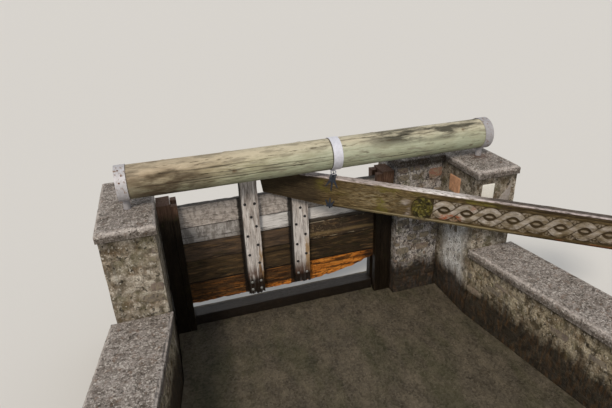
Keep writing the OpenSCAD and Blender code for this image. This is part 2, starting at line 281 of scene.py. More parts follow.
def between(tree, coords, axis, low, high, soft):
    """A mask that is 1 between two places on one axis, with soft ends."""
    return add(tree, "ShaderNodeMath", {
        0: along_axis(tree, coords, axis, low - soft, low + soft),
        1: along_axis(tree, coords, axis, high + soft, high - soft)}, operation="MULTIPLY")


def shaken(tree, coords, size, amount, stretch=(1, 1, 1)):
    """The coordinates pushed to and fro by noise, so that borders drawn on them turn ragged."""
    spread = add(tree, "ShaderNodeMapping", {"Vector": coords, "Scale": stretch})
    cloud = add(tree, "ShaderNodeTexNoise", {
        "Vector": spread, "Scale": 1 / size, "Detail": 5.0})
    centred = add(tree, "ShaderNodeVectorMath", {
        0: cloud.outputs["Color"], 1: (0.5, 0.5, 0.5)}, operation="SUBTRACT")
    return add(tree, "ShaderNodeVectorMath", {
        0: centred, 1: (amount, amount, amount), 2: coords}, operation="MULTIPLY_ADD")


def height_mask(tree, coords, dry, soaked, unevenness=0.5):
    """A mask that grows from 0 at the dry level to 1 at the soaked level, with an uneven edge."""
    level = add(tree, "ShaderNodeSeparateXYZ", {0: coords}).outputs[2]
    wave = patches(tree, coords, 0.09, 0.3, 0.7, 6.0, (1, 1, 0.35))
    lowered = add(tree, "ShaderNodeMath", {
        0: wave, 1: -unevenness * abs(dry - soaked), 2: level}, operation="MULTIPLY_ADD")
    return add(tree, "ShaderNodeMapRange", {"Value": lowered, "From Min": dry, "From Max": soaked})


# Materials

def old_timber(name, light, mid, dark, crack, grain=0, wet=None, wet_colour=None, roughness=0.82,
               shift=0.0, extra=None, moss=None):
    """Weathered softwood: washed-out grain streaks, long drying cracks and a darker wet foot.

    Wet holds the dry and the soaked level, moss a colour and its share, and extra is a function
    that lays more over the colour.
    """
    material, tree, coords = open_material(name)
    long, longer, longest = ([stretch if axis == grain else 1.0 for axis in range(3)]
                             for stretch in (0.2, 0.05, 0.035))
    # Year rings cut at an angle: streaks 5 mm wide and about 100 mm long
    streaks = patches(tree, coords, 0.005, 0.25, 0.75, 6.0, longer, shift)
    broad = patches(tree, coords, 0.05, 0.35, 0.68, 5.0, long, shift + 3)
    fibres = patches(tree, coords, 0.0016, 0.3, 0.7, 3.0, longer, shift + 5)
    # Drying cracks 2 mm wide follow the grain
    cracks = add(tree, "ShaderNodeMath", {
        0: crack_lines(tree, coords, longest, 28.0, 5.0, 0.55, 0.014, (shift, 2.0, 1.0)),
        1: patches(tree, coords, 0.12, 0.44, 0.6, 2.0, longest, shift + 8)}, operation="MULTIPLY")
    blend = add(tree, "ShaderNodeMix", {0: 0.38, 2: streaks, 3: broad})
    base = add(tree, "ShaderNodeValToRGB", {0: blend}, [(0.2, dark), (0.46, mid), (0.74, light)])
    layers = [(fibres, dark, 0.22), (cracks, crack)]
    if moss:
        green, share = moss
        grown = patches(tree, coords, 0.09, 1 - share, 1.12 - share, 7.0, shift=shift + 13)
        layers.append((grown, green))
    colour = laid_over(tree, base, layers)
    if wet:
        soaked = height_mask(tree, coords, *wet)
        streak = patches(tree, coords, 0.02, 0.35, 0.75, 4.0, (1, 1, 0.12), shift + 4)
        uneven = add(tree, "ShaderNodeMapRange", {"Value": streak, "To Min": 0.96, "To Max": 0.7})
        colour = laid_over(tree, colour, [(soaked, wet_colour, uneven)])
        roughness = add(tree, "ShaderNodeMapRange", {
            "Value": soaked, "To Min": roughness, "To Max": 0.34})
    if extra:
        colour = extra(tree, coords, colour)
    grained = add(tree, "ShaderNodeMath", {0: blend, 1: fibres})
    raised = add(tree, "ShaderNodeMath", {0: grained, 1: cracks}, operation="SUBTRACT")
    close_material(tree, colour, roughness, raised, 0.0022, IOR=1.5)
    return material


def log_material(main):
    """Peeled log: bleached sapwood with green algae, grey patches, dark checks and brown knots."""
    material, tree, coords = open_material("peeled_sapwood_log")
    masks = add(tree, "ShaderNodeAttribute", attribute_name="wear")
    split = add(tree, "ShaderNodeSeparateColor", {0: masks.outputs["Color"]}).outputs
    streaks = patches(tree, coords, 0.012, 0.3, 0.7, 8.0, (0.09, 1, 1))
    broad = patches(tree, coords, 0.11, 0.42, 0.6, 7.0, (0.35, 1, 1), 2.0)
    grey = patches(tree, coords, 0.05, 0.52, 0.6, 8.0, (0.22, 1, 1), 6.0)
    dashes = patches(tree, coords, 0.02, 0.6, 0.65, 6.0, (0.14, 1, 1), 15.0)
    fibres = patches(tree, coords, 0.0022, 0.3, 0.7, 3.0, (0.04, 1, 1), 11.0)
    base = add(tree, "ShaderNodeValToRGB", {0: streaks},
               [(0.15, "#8E8367"), (0.5, main), (0.85, "#DAD1B9")])
    # The upper side is bleached and also painted lighter as a highlight, the underside is tinted by
    # algae and also painted darker as shade, algae tint the right half, brown heartwood shows at the
    # left end, and mould blackens the upper side of the right half
    bleached = along_axis(tree, coords, 2, 2.0, 2.06)
    under = along_axis(tree, coords, 2, 2.03, 1.88)
    right = along_axis(tree, coords, 0, -0.65, 0.3)
    left = along_axis(tree, coords, 0, -0.35, -1.05)
    mould = add(tree, "ShaderNodeMath", {
        0: along_axis(tree, coords, 2, 1.96, 2.02), 1: along_axis(tree, coords, 0, 0.55, 0.95),
        2: 0.07}, operation="MULTIPLY_ADD")
    black = patches(tree, coords, 0.1, 0.45, 0.56, 9.0, (0.22, 1, 1), 9.0)
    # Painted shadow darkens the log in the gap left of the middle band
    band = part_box("middle_band")[0].x
    band_gap_shadow = between(tree, coords, 0, band - 0.008, band + 0.02, 0.004)
    ragged = shaken(tree, coords, 0.09, 0.22, (0.5, 1, 1))
    burnt = between(tree, ragged, 0, -1.3, -0.78, 0.16)
    below = along_axis(tree, ragged, 2, 2.045, 2.01)
    mottled = patches(tree, coords, 0.05, 0.36, 0.62, 9.0, (0.3, 1, 1), 29.0)
    colour = laid_over(tree, base, [
        (left, "#BC9E86", 0.55),
        (right, "#C4CCB7", 0.65),
        (under, "#929E83", 0.6),
        (broad, "#857B5C", 0.35),
        (bleached, "#DACDB4", 0.6),
        (grey, "#7C7565", 0.55),
        (burnt, "#43382B", below, add(tree, "ShaderNodeMath", {0: mottled, 1: 0.35}), 0.85),
        (left, "#6A5A48", mottled, 0.4),
        (black, "#35342E", mould, 0.85),
        (dashes, "#43392A", 0.75),
        (fibres, "#5E563E", 0.25),
        (split[1], "#543B24", 0.85),
        (band_gap_shadow, "#2B2519", 0.85),
        (split[0], "#17130B")])
    raised = add(tree, "ShaderNodeMath", {0: streaks, 1: fibres})
    close_material(tree, colour, 0.8, raised, 0.0016, IOR=1.5)
    return material


def lever_material(colours):
    """Carved plank: olive-brown weathered oak, pale worn bands, moss and rests of red paint."""
    material, tree, coords = open_material("weathered_carved_oak")
    local = add(tree, "ShaderNodeMapping", {
        "Vector": coords, "Location": LEVER["pos_m"],
        "Rotation": LEVER_MATRIX.to_euler()}, vector_type="TEXTURE")
    masks = add(tree, "ShaderNodeAttribute", attribute_name="wear")
    band, moss, red = add(tree, "ShaderNodeSeparateColor", {
        0: masks.outputs["Color"]}).outputs[:3]
    pale = masks.outputs["Alpha"]
    # Painted shade for the hollows of the front face, held in a vertex attribute
    groove = add(tree, "ShaderNodeAttribute", attribute_name="groove").outputs["Fac"]
    # Oak rays and rings, bent around a knot near the hanger
    swirl = add(tree, "ShaderNodeTexNoise", {"Vector": local, "Scale": 5.0, "Detail": 2.0})
    bent = add(tree, "ShaderNodeMix", {
        0: 0.06, 4: local, 5: swirl.outputs["Color"]}, data_type="VECTOR").outputs[1]
    streaks = patches(tree, bent, 0.007, 0.28, 0.74, 6.0, (0.07, 1, 1), 1.0)
    broad = patches(tree, bent, 0.07, 0.38, 0.62, 6.0, (0.25, 1, 1), 4.0)
    fibres = patches(tree, local, 0.0018, 0.3, 0.7, 3.0, (0.05, 1, 1), 7.0)
    cracks = add(tree, "ShaderNodeMath", {
        0: crack_lines(tree, local, (0.03, 1, 1), 30.0, 4.0, 0.5, 0.012),
        1: patches(tree, local, 0.1, 0.5, 0.6, 2.0, (0.05, 1, 1), 5.0)}, operation="MULTIPLY")
    base = add(tree, "ShaderNodeValToRGB", {0: streaks},
               [(0.15, "#291D0F"), (0.5, colours.lever), (0.85, "#9A8661")])
    speckle = patches(tree, local, 0.012, 0.4, 0.6, 5.0, (0.5, 1, 1), 9.0)
    bleach = patches(tree, local, 0.016, 0.36, 0.58, 6.0, (0.3, 1, 1), 12.0)
    greying = patches(tree, local, 0.04, 0.42, 0.58, 6.0, (0.4, 1, 1), 18.0)
    # The upper strip of the face and the back of the top stay dark and damp to the right
    strip = along_axis(tree, local, 2, -0.098, -0.072)
    damp = add(tree, "ShaderNodeMath", {0: broad, 1: 0.4})
    # Short end in the log's shade, bleached specks right of the hanger, dark moss on the rosette,
    # rain-washed dirt along the lower part of the carving, which dulls towards the far end
    shade = along_axis(tree, local, 0, 0.02, -0.16)
    fine = patches(tree, local, 0.02, 0.44, 0.58, 7.0, (0.35, 1, 1), 23.0)
    worn = between(tree, local, 0, 0.24, 0.56, 0.17)
    disc = add(tree, "ShaderNodeMath", {
        0: between(tree, local, 0, 0.745, 0.91, 0.015),
        1: between(tree, local, 2, -0.3, -0.095, 0.02)}, operation="MULTIPLY")
    tired = add(tree, "ShaderNodeMath", {
        0: along_axis(tree, local, 0, 1.1, 2.1), 1: 0.5,
        2: patches(tree, local, 0.05, 0.46, 0.62, 5.0, (0.5, 1, 1), 37.0)},
        operation="MULTIPLY_ADD")
    moulding = along_axis(tree, local, 2, -0.286, -0.29)
    dirt = patches(tree, local, 0.03, 0.4, 0.56, 6.0, (0.5, 1, 1), 27.0)
    low = add(tree, "ShaderNodeMath", {
        0: along_axis(tree, local, 2, -0.2, -0.26), 1: 0.55, 2: 0.32}, operation="MULTIPLY_ADD")
    colour = laid_over(tree, base, [
        (broad, "#3E2E14", 0.6),
        (shade, "#292118", 0.75),
        (worn, "#9E9275", between(tree, local, 2, -0.25, -0.08, 0.05), fine, 0.6),
        (strip, "#20170E", along_axis(tree, local, 0, 0.9, 1.5), damp, 0.85),
        (band, colours.carved_band, 0.78),
        (band, "#D9D1CB", greying, 0.75),
        (band, "#5D5039", streaks, 0.5),
        (band, "#6E5F45", tired, 0.6),
        (dirt, "#4C3C1E", low, along_axis(tree, local, 0, 0.9, 1.0)),
        (red, "#97502F", add(tree, "ShaderNodeMath", {0: speckle, 1: 0.1})),
        (moss, "#67611F", add(tree, "ShaderNodeMath", {0: speckle, 1: 0.25})),
        (disc, "#24220E", patches(tree, local, 0.05, 0.4, 0.56, shift=31.0)),
        (disc, "#8F8850", patches(tree, local, 0.022, 0.55, 0.62, shift=35.0), 0.7),
        (fibres, "#2E2412", 0.3),
        (moulding, "#A39674", between(tree, local, 0, 0.25, 1.6, 0.2), 0.65),
        (cracks, "#171006"),
        (pale, "#C3B7B4", add(tree, "ShaderNodeMath", {0: bleach, 1: 0.2})),
        (pale, "#EFEAE7", bleach, between(tree, local, 0, 0.7, 1.25, 0.15)),
        # Painted shade in the carving's hollows, the face cracks and the quirk
        (groove, "#2C2112", 0.85)])
    grained = add(tree, "ShaderNodeMath", {0: streaks, 1: fibres})
    raised = add(tree, "ShaderNodeMath", {0: grained, 1: cracks}, operation="SUBTRACT")
    close_material(tree, colour, 0.8, raised, 0.0018, IOR=1.5)
    return material


def iron_material(name, main, light, rust_share, metal, roughness, rust=("#4A2614", "#A0602F")):
    """Iron: dull zinc or a hammered black skin, with rust in spots and runs."""
    material, tree, coords = open_material(name)
    # Zinc flowers or hammer marks 12 mm across, rust spots 20 mm
    flowers = add(tree, "ShaderNodeTexVoronoi", {"Vector": coords, "Scale": 80.0})
    cloud = patches(tree, coords, 0.03, 0.35, 0.65, shift=1.0)
    spots = patches(tree, coords, 0.022, 1 - rust_share, 1.09 - rust_share, 6.0, (1, 1, 0.5), 4.0)
    crust = patches(tree, coords, 0.004, 0.3, 0.7, 3.0, shift=7.0)
    base = laid_over(tree, main, [
        (flowers.outputs["Color"], light, 0.2),
        (cloud, light, 0.45)])
    rusty = add(tree, "ShaderNodeValToRGB", {0: crust}, [(0.2, rust[0]), (0.8, rust[1])])
    colour = laid_over(tree, base, [(spots, rusty)])
    clean = add(tree, "ShaderNodeMapRange", {"Value": spots, "To Min": metal, "To Max": 0.0})
    rough = add(tree, "ShaderNodeMapRange", {"Value": spots, "To Min": roughness, "To Max": 0.9})
    pitted = add(tree, "ShaderNodeMath", {0: spots, 1: crust}, operation="MULTIPLY")
    height = add(tree, "ShaderNodeMath", {
        0: flowers.outputs["Distance"], 1: 0.3, 2: pitted}, operation="MULTIPLY_ADD")
    close_material(tree, colour, rough, height, 0.0012, Metallic=clean)
    return material


def render_material(name, main, dark, light, wet, soot_and_shadow, lime=None, grit=1.0, flecks=0.0):
    """Lime render and mortar: mottled, gritty, with moss, lime runs and a black wet foot."""
    material, tree, coords = open_material(name)
    blotch = patches(tree, coords, 0.2, 0.42, 0.64, 7.0, (1, 1, 0.7), 1.0)
    mottle = patches(tree, coords, 0.06, 0.39, 0.62, 12.0, shift=3.0)
    sand = patches(tree, coords, 0.012, 0.42, 0.58, shift=5.0)
    white = patches(tree, coords, 0.022, 0.6 - flecks, 0.64 - flecks, 6.0, (1, 1, 0.7), 8.0)
    holes = patches(tree, coords, 0.03, 0.58, 0.63, 6.0, (1, 1, 0.8), 12.0)
    brownish = patches(tree, coords, 0.11, 0.5, 0.62, 7.0, shift=33.0)
    green = patches(tree, coords, 0.13, 0.52, 0.66, 7.0, shift=15.0)
    runs = patches(tree, coords, 0.05, 0.55, 0.7, 6.0, (1, 1, 0.1), 21.0)
    base = add(tree, "ShaderNodeValToRGB", {0: mottle},
               [(0.05, dark), (0.5, main), (0.95, light)])
    layers = [
        (blotch, dark, 0.38),
        (brownish, "#7A603F", 0.45),
        (green, "#66653F", 0.5),
        (runs, "#A9A79F", 0.45)]
    if lime:
        # Lime washed out of the masonry runs down inside this box
        (x0, y0, z0), (x1, y1, z1) = lime
        place = add(tree, "ShaderNodeSeparateXYZ", {0: coords}).outputs
        inside = []
        for axis, (low, high) in enumerate(((x0, x1), (y0, y1), (z0, z1))):
            centre, half = (low + high) / 2, (high - low) / 2
            off = add(tree, "ShaderNodeMath", {0: place[axis], 1: centre}, operation="SUBTRACT")
            away = add(tree, "ShaderNodeMath", {0: off}, operation="ABSOLUTE")
            inside.append(add(tree, "ShaderNodeMapRange", {
                "Value": away, "From Min": half, "From Max": half * 0.45}))
        streaks = patches(tree, coords, 0.08, 0.36, 0.62, 10.0, (1, 1, 0.5), 31.0)
        wash = add(tree, "ShaderNodeMath", {0: streaks, 1: 0.3})
        layers.append((wash, "#FAFBFB", *inside))
    # Soot and drips, with painted shadow, under the cap or coping
    drip_and_shadow = along_axis(tree, shaken(tree, coords, 0.08, 0.16, (1, 1, 0.4)), 2, *soot_and_shadow)
    layers += [(sand, dark, 0.5 * grit),
               (holes, "#1F1B15", 0.8),
               (white, "#D2CBBF", 0.75),
               (drip_and_shadow, "#2B251D", 0.7)]
    colour = laid_over(tree, base, layers)
    soaked = height_mask(tree, coords, *wet, 1.0)
    brown = patches(tree, coords, 0.03, 0.45, 0.75, 5.0, (1, 1, 0.25), 27.0)
    foot = laid_over(tree, linear("#1B1711"), [(brown, "#5C4022", 0.75)])
    colour = laid_over(tree, colour, [(soaked, foot, 0.93)])
    rough = add(tree, "ShaderNodeMapRange", {"Value": soaked, "To Min": 0.92, "To Max": 0.42})
    height = add(tree, "ShaderNodeMath", {0: mottle, 1: 1.4, 2: sand}, operation="MULTIPLY_ADD")
    close_material(tree, colour, rough, height, 0.0045, IOR=1.5)
    return material


def stone_material(name, wet):
    """Field stones: each takes its colour from its own tone, with mineral specks and a wet foot."""
    material, tree, coords = open_material(name)
    tone = add(tree, "ShaderNodeAttribute", attribute_name="tone").outputs["Fac"]
    grain = patches(tree, coords, 0.012, 0.3, 0.72, 7.0, shift=2.0)
    specks = patches(tree, coords, 0.005, 0.55, 0.66, 3.0, shift=6.0)
    lichen = patches(tree, coords, 0.05, 0.56, 0.64, 8.0, shift=9.0)
    base = add(tree, "ShaderNodeValToRGB", {0: tone}, [
        (0.0, "#58544E"), (0.18, "#6F6961"), (0.34, "#7E6D65"), (0.5, "#655C54"),
        (0.66, "#8B8172"), (0.78, "#986B5A"), (0.82, "#ABA39E"), (0.86, "#FFFDF4"),
        (0.95, "#DFAA84")])
    # Field stones have a low tone, dressed ones a high one, and fired brick the highest
    field = add(tree, "ShaderNodeMapRange", {"Value": tone, "From Min": 0.84, "From Max": 0.8})
    fired = add(tree, "ShaderNodeMapRange", {"Value": tone, "From Min": 0.9, "From Max": 0.93})
    coarse = add(tree, "ShaderNodeMapRange", {"Value": field, "To Min": 0.12, "To Max": 0.35})
    mottle = patches(tree, coords, 0.035, 0.42, 0.58, 8.0, (1, 1, 0.5), 25.0)
    mortar = patches(tree, coords, 0.035, 0.46, 0.53, 8.0, shift=14.0)
    holes = patches(tree, coords, 0.02, 0.58, 0.63, 6.0, shift=18.0)
    colour = laid_over(tree, base, [
        (grain, "#35312B", coarse),
        (mottle, "#8F6143", fired, 0.45),
        (mortar, "#8A7F6C", field, 0.7),
        (holes, "#2A251E", field, 0.7),
        (lichen, "#7D7A5A", field, 0.35),
        (specks, "#C4BBAF", 0.4)])
    soaked = height_mask(tree, coords, *wet, 1.0)
    colour = laid_over(tree, colour, [(soaked, "#211B13", 0.9)])
    rough = add(tree, "ShaderNodeMapRange", {"Value": soaked, "To Min": 0.9, "To Max": 0.4})
    height = add(tree, "ShaderNodeMath", {0: grain, 1: specks})
    close_material(tree, colour, rough, height, 0.003, IOR=1.5)
    return material


def concrete_material(name, main, damp, stub=False):
    """Old cast concrete: laid-bare sand, pits, brown stains, pale worn arrises, a lower edge darkened
    by damp and painted shadow.
    """
    material, tree, coords = open_material(name)
    arris = add(tree, "ShaderNodeAttribute", attribute_name="arris").outputs["Fac"]
    gravel = add(tree, "ShaderNodeTexVoronoi", {"Vector": coords, "Scale": 50.0})
    pits = patches(tree, coords, 0.02, 0.575, 0.62, 4.0, shift=3.0)
    mottle = patches(tree, coords, 0.07, 0.28, 0.72, 12.0, shift=5.0)
    stain = patches(tree, coords, 0.2, 0.44, 0.62, 8.0, shift=8.0)
    pale = patches(tree, coords, 0.016, 0.56, 0.6, 6.0, shift=11.0)
    coarse = patches(tree, coords, 0.015, 0.46, 0.56, 6.0, shift=23.0)
    rusty = patches(tree, coords, 0.05, 0.56, 0.65, 7.0, shift=17.0)
    sand = patches(tree, coords, 0.006, 0.34, 0.66, 4.0, shift=13.0)
    base = add(tree, "ShaderNodeValToRGB", {0: mottle},
               [(0.1, "#645C55"), (0.5, main), (0.9, "#C6BEB8")])
    # The lower edge is darker: damp, and painted shadow under the overhang
    wet = along_axis(tree, shaken(tree, coords, 0.06, 0.06), 2, damp + 0.012, damp - 0.006)
    layers = [
        (stain, "#665B4E", 0.4),
        (gravel.outputs["Color"], "#6C615A", 0.25),
        (sand, "#5A5148", 0.42),
        (coarse, "#574E46", 0.55),
        (rusty, "#7D5F47", 0.5),
        (arris, "#CFC6C0", add(tree, "ShaderNodeMath", {0: mottle, 1: 0.3}), 0.7),
        (pale, "#DAD3CB", 0.8),
        (pits, "#3D362F", 0.7),
        (wet, "#3F372E", 0.6)]
    if stub:
        # Rust that ran off the stub under the band
        low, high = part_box("right_stub")
        ragged = shaken(tree, coords, 0.05, 0.16)
        wide = between(tree, ragged, 0, low.x - 0.04, high.x + 0.04, 0.02)
        deep = between(tree, ragged, 1, low.y - 0.07, high.y + 0.02, 0.02)
        layers.append((wide, "#5C4133", deep, 0.65))
    colour = laid_over(tree, base, layers)
    grainy = add(tree, "ShaderNodeMath", {0: mottle, 1: sand})
    height = add(tree, "ShaderNodeMath", {0: pits, 1: -1.2, 2: grainy}, operation="MULTIPLY_ADD")
    close_material(tree, colour, 0.92, height, 0.0035, IOR=1.5)
    return material


def bed_material():
    """Channel bed: wet concrete under a film of silt, with gravel and streaks along the flow."""
    material, tree, coords = open_material("silty_wet_concrete")
    silt = patches(tree, coords, 0.13, 0.25, 0.75, 14.0, (1, 0.6, 1), 2.0)
    gravel = add(tree, "ShaderNodeTexVoronoi", {"Vector": coords, "Scale": 55.0})
    algae = patches(tree, coords, 0.3, 0.48, 0.64, 6.0, (1, 0.4, 1), 9.0)
    grit = patches(tree, coords, 0.006, 0.35, 0.7, 4.0, shift=4.0)
    base = add(tree, "ShaderNodeValToRGB", {0: silt},
               [(0.15, "#2C271F"), (0.5, "#453E32"), (0.9, "#665D4D")])
    colour = laid_over(tree, base, [
        (gravel.outputs["Color"], "#9A8F7D", 0.4),
        (algae, "#39401F", 0.35),
        (grit, "#2B261E", 0.3)])
    rough = add(tree, "ShaderNodeMapRange", {"Value": silt, "To Min": 0.3, "To Max": 0.7})
    height = add(tree, "ShaderNodeMath", {0: gravel.outputs["Distance"], 1: grit})
    close_material(tree, colour, rough, height, 0.004, IOR=1.45)
    return material


# Modelling helpers

def edit_select(piece, kind, test):
    """In edit mode, selects only the faces, edges or vertices of a piece that pass a test."""
    bpy.context.tool_settings.mesh_select_mode = [kind == k for k in ("verts", "edges", "faces")]
    shape = bmesh.from_edit_mesh(piece.data)
    for group in (shape.faces, shape.edges, shape.verts):
        for element in group:
            element.select = False
    for element in getattr(shape, kind):
        if test(element):
            element.select_set(True)
    shape.select_flush_mode()
    bmesh.update_edit_mesh(piece.data)


def mode(name):
    """Switches between object and edit mode."""
    bpy.ops.object.mode_set(mode=name)


def cut_along(piece, axis, parts):
    """In edit mode, cuts every edge along one axis into equal parts, in two passes where many."""
    first = parts if parts <= 90 else math.ceil(parts / 90)
    for count in (first, round(parts / first)):
        if count > 1:
            edit_select(piece, "edges", lambda e: abs(
                (e.verts[0].co - e.verts[1].co).normalized()[axis]) > 0.99)
            bpy.ops.mesh.subdivide(number_cuts=count - 1)


def block(name, low, high, steps):
    """A block between two corners, its faces cut into a grid of about the given steps."""
    low, high = Vector(low), Vector(high)
    bpy.ops.object.select_all(action="DESELECT")
    bpy.ops.mesh.primitive_cube_add(size=1, location=(low + high) / 2, scale=high - low)
    piece = bpy.context.object
    piece.name = name
    bpy.ops.object.transform_apply(location=True, rotation=True, scale=True)
    mode("EDIT")
    for axis in range(3):
        cut_along(piece, axis, max(1, round((high[axis] - low[axis]) / steps[axis])))
    mode("OBJECT")
    return piece


def reshape(piece, rule):
    """Moves each vertex to where a rule of its place and normal says."""
    mesh = piece.data
    normals = [vertex.normal.copy() for vertex in mesh.vertices]
    for vertex, normal in zip(mesh.vertices, normals):
        vertex.co = rule(vertex.co.copy(), normal)
    mesh.update()


def paint(piece, name, kind, rule):
    """Gives each vertex a value of a named attribute, by its place."""
    field = piece.data.attributes.new(name, kind, "POINT")
    for item, vertex in zip(field.data, piece.data.vertices):
        if kind == "FLOAT":
            item.value = rule(vertex.co)
        else:
            item.color = rule(vertex.co)


def settle(piece, body, material, replaced=(), angle=0.6):
    """Finishes a piece: material, smooth shading, body and the nodes it stands for."""
    bpy.ops.object.select_all(action="DESELECT")
    piece.select_set(True)
    bpy.context.view_layer.objects.active = piece
    piece.data.materials.clear()
    piece.data.materials.append(material)
    bpy.ops.object.shade_smooth_by_angle(angle=angle)
    # Nothing reaches past the box of the solids
    for vertex in piece.data.vertices:
        vertex.co = [min(max(c, low), high) for c, low, high in zip(vertex.co, *CAD_BOX)]
    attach(piece, body)
    if replaced:
        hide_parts(*replaced)


def dress(material, *nodes):
    """Gives CAD nodes whose shape is right a better material."""
    for name in nodes:
        node = frame["nodes"][name]
        node.data.materials.clear()
        node.data.materials.append(material)


def placed_copy(model, matrix):
    """A copy of a piece with a mesh of its own, moved by a matrix."""
    piece = model.copy()
    piece.data = model.data.copy()
    piece.data.transform(matrix)
    bpy.context.collection.objects.link(piece)
    return piece


def joined(name, parts):
    """Several pieces made one."""
    bpy.ops.object.select_all(action="DESELECT")
    for part in parts:
        part.select_set(True)
    bpy.context.view_layer.objects.active = parts[0]
    bpy.ops.object.join()
    piece = bpy.context.object
    piece.name = name
    return piece


def drop(*pieces):
    """Deletes pieces that were only models for copies."""
    for piece in pieces:
        bpy.data.objects.remove(piece)


def worn_timber(name, low, high, grain, steps, relief, ragged, seed):
    """A timber whose soft grain is washed out and whose arrises are chipped, inside its box."""
    piece = block(name, low, high, steps)
    low, high = Vector(low), Vector(high)
    shift = Vector((seed * 3.7, seed * 1.9, seed * 5.3))
    fine = Vector([3.5 if axis == grain else 75.0 for axis in range(3)])
    coarse = Vector([1.6 if axis == grain else 14.0 for axis in range(3)])
    chip = Vector([14.0 if axis == grain else 30.0 for axis in range(3)])

    def rule(place, normal):
        rough = noise.noise(place * fine + shift)
        broad = noise.noise(place * coarse + shift)
        depth = relief * (0.5 + 0.35 * rough + 0.3 * broad)
        edges = sum(min(place[a] - low[a], high[a] - place[a]) < 1e-5 for a in range(3))
        if edges > 1:
            depth += ragged * max(0.12, noise.noise(place * chip + shift) + 0.25)
        return place - normal * max(0.0, depth)

    reshape(piece, rule)
    return piece


# Log

def build_log(sizes, material):
    """The log beam, with drying checks, knots and end rings."""
    low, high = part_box("log_beam")
    centre = (low + high) / 2
    radius = (high.z - low.z) / 2
    bpy.ops.object.select_all(action="DESELECT")
    bpy.ops.mesh.primitive_cylinder_add(
        vertices=150, radius=radius, depth=high.x - low.x, location=centre,
        rotation=(0, math.pi / 2, 0))
    piece = bpy.context.object
    piece.name = "log"
    bpy.ops.object.transform_apply(location=True, rotation=True, scale=True)
    mode("EDIT")
    cut_along(piece, 0, 170)
    for side in (low.x, high.x):
        edit_select(piece, "faces", lambda f: abs(f.calc_center_median().x - side) < 1e-4)
        for _ in range(5):
            bpy.ops.mesh.inset(thickness=0.024)
    mode("OBJECT")

    rng = random.Random(4)
    checks = [(rng.uniform(0, math.tau), rng.uniform(low.x, high.x), rng.uniform(0.25, 0.8),
               rng.uniform(0.6, 1.0)) for _ in range(20)]
    # Two long checks show on the front
    checks += [(math.radians(205), 0.95, 0.75, 1.0), (math.radians(192), -0.5, 0.7, 0.9)]
    knots = [(rng.uniform(0, math.tau), rng.uniform(low.x + 0.2, high.x - 0.2),
              rng.uniform(0.018, 0.034)) for _ in range(22)]
    bands = [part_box(name) for name in ("left_band", "middle_band", "right_band")]

    def polar(place):
        return (math.atan2(place.z - centre.z, place.y - centre.y),
                math.hypot(place.z - centre.z, place.y - centre.y))

    def check_at(place, angle):
        deepest = 0.0
        for heading, middle, half, force in checks:
            run = abs(place.x - middle) / half
            if run < 1:
                wander = heading + 0.09 * noise.noise(Vector((place.x * 4, heading * 9, 0)))
                off = abs(math.remainder(angle - wander, math.tau)) * radius
                width = 0.0052 * (1 - run ** 3)
                if off < width:
                    deepest = max(deepest, force * (1 - run ** 2) * (1 - off / width) ** 0.5)
        return deepest

    def knot_at(place, angle):
        best = 0.0
        for heading, middle, size in knots:
            off = math.remainder(angle - heading, math.tau) * radius
            away = math.hypot(off * 1.25, place.x - middle) / size
            if away < 1:
                best = max(best, 1 - away)
        return best

    def under_band(place):
        return any(b[0].x - 0.004 < place.x < b[1].x + 0.004 for b in bands)

    def rule(place, normal):
        angle, out = polar(place)
        if out < 1e-6:
            return place
        scale = out / radius
        if scale > 0.99:
            lump = noise.noise(Vector((place.x * 1.6, math.cos(angle) * 1.1, math.sin(angle) * 1.1)))
            ridge = noise.noise(Vector((place.x * 5, angle * 16, 3.0)))
            growth = sizes.log_lump * lump + 0.0008 * ridge - 0.0012
            knot = knot_at(place, angle)
            growth += 0.004 * math.sin(min(1.0, knot * 1.6) * math.pi) * (knot > 0)
            growth -= sizes.check_depth * check_at(place, angle)
            if under_band(place):
                growth = min(growth, -0.0006)
            out = radius + growth
        else:
            place.x += 0.0015 * noise.noise(Vector((place.x, out * 160, angle)))
        return Vector((place.x, centre.y + out * math.cos(angle), centre.z + out * math.sin(angle)))

    def wear(place):
        angle, out = polar(place)
        if out < radius * 0.9:
            return (0.0, 0.35 + 0.3 * math.sin(out * 420), 0.0, 1.0)
        return (check_at(place, angle), knot_at(place, angle) * 1.3, 0.0, 1.0)

    paint(piece, "wear", "FLOAT_COLOR", wear)
    reshape(piece, rule)
    settle(piece, "structure", material, ["log_beam"])


# Lever

def smooth_step(low, high, value):
    """0 below low and 1 above high, with an even rise between them."""
    t = min(1.0, max(0.0, (value - low) / (high - low)))
    return t * t * (3 - 2 * t)


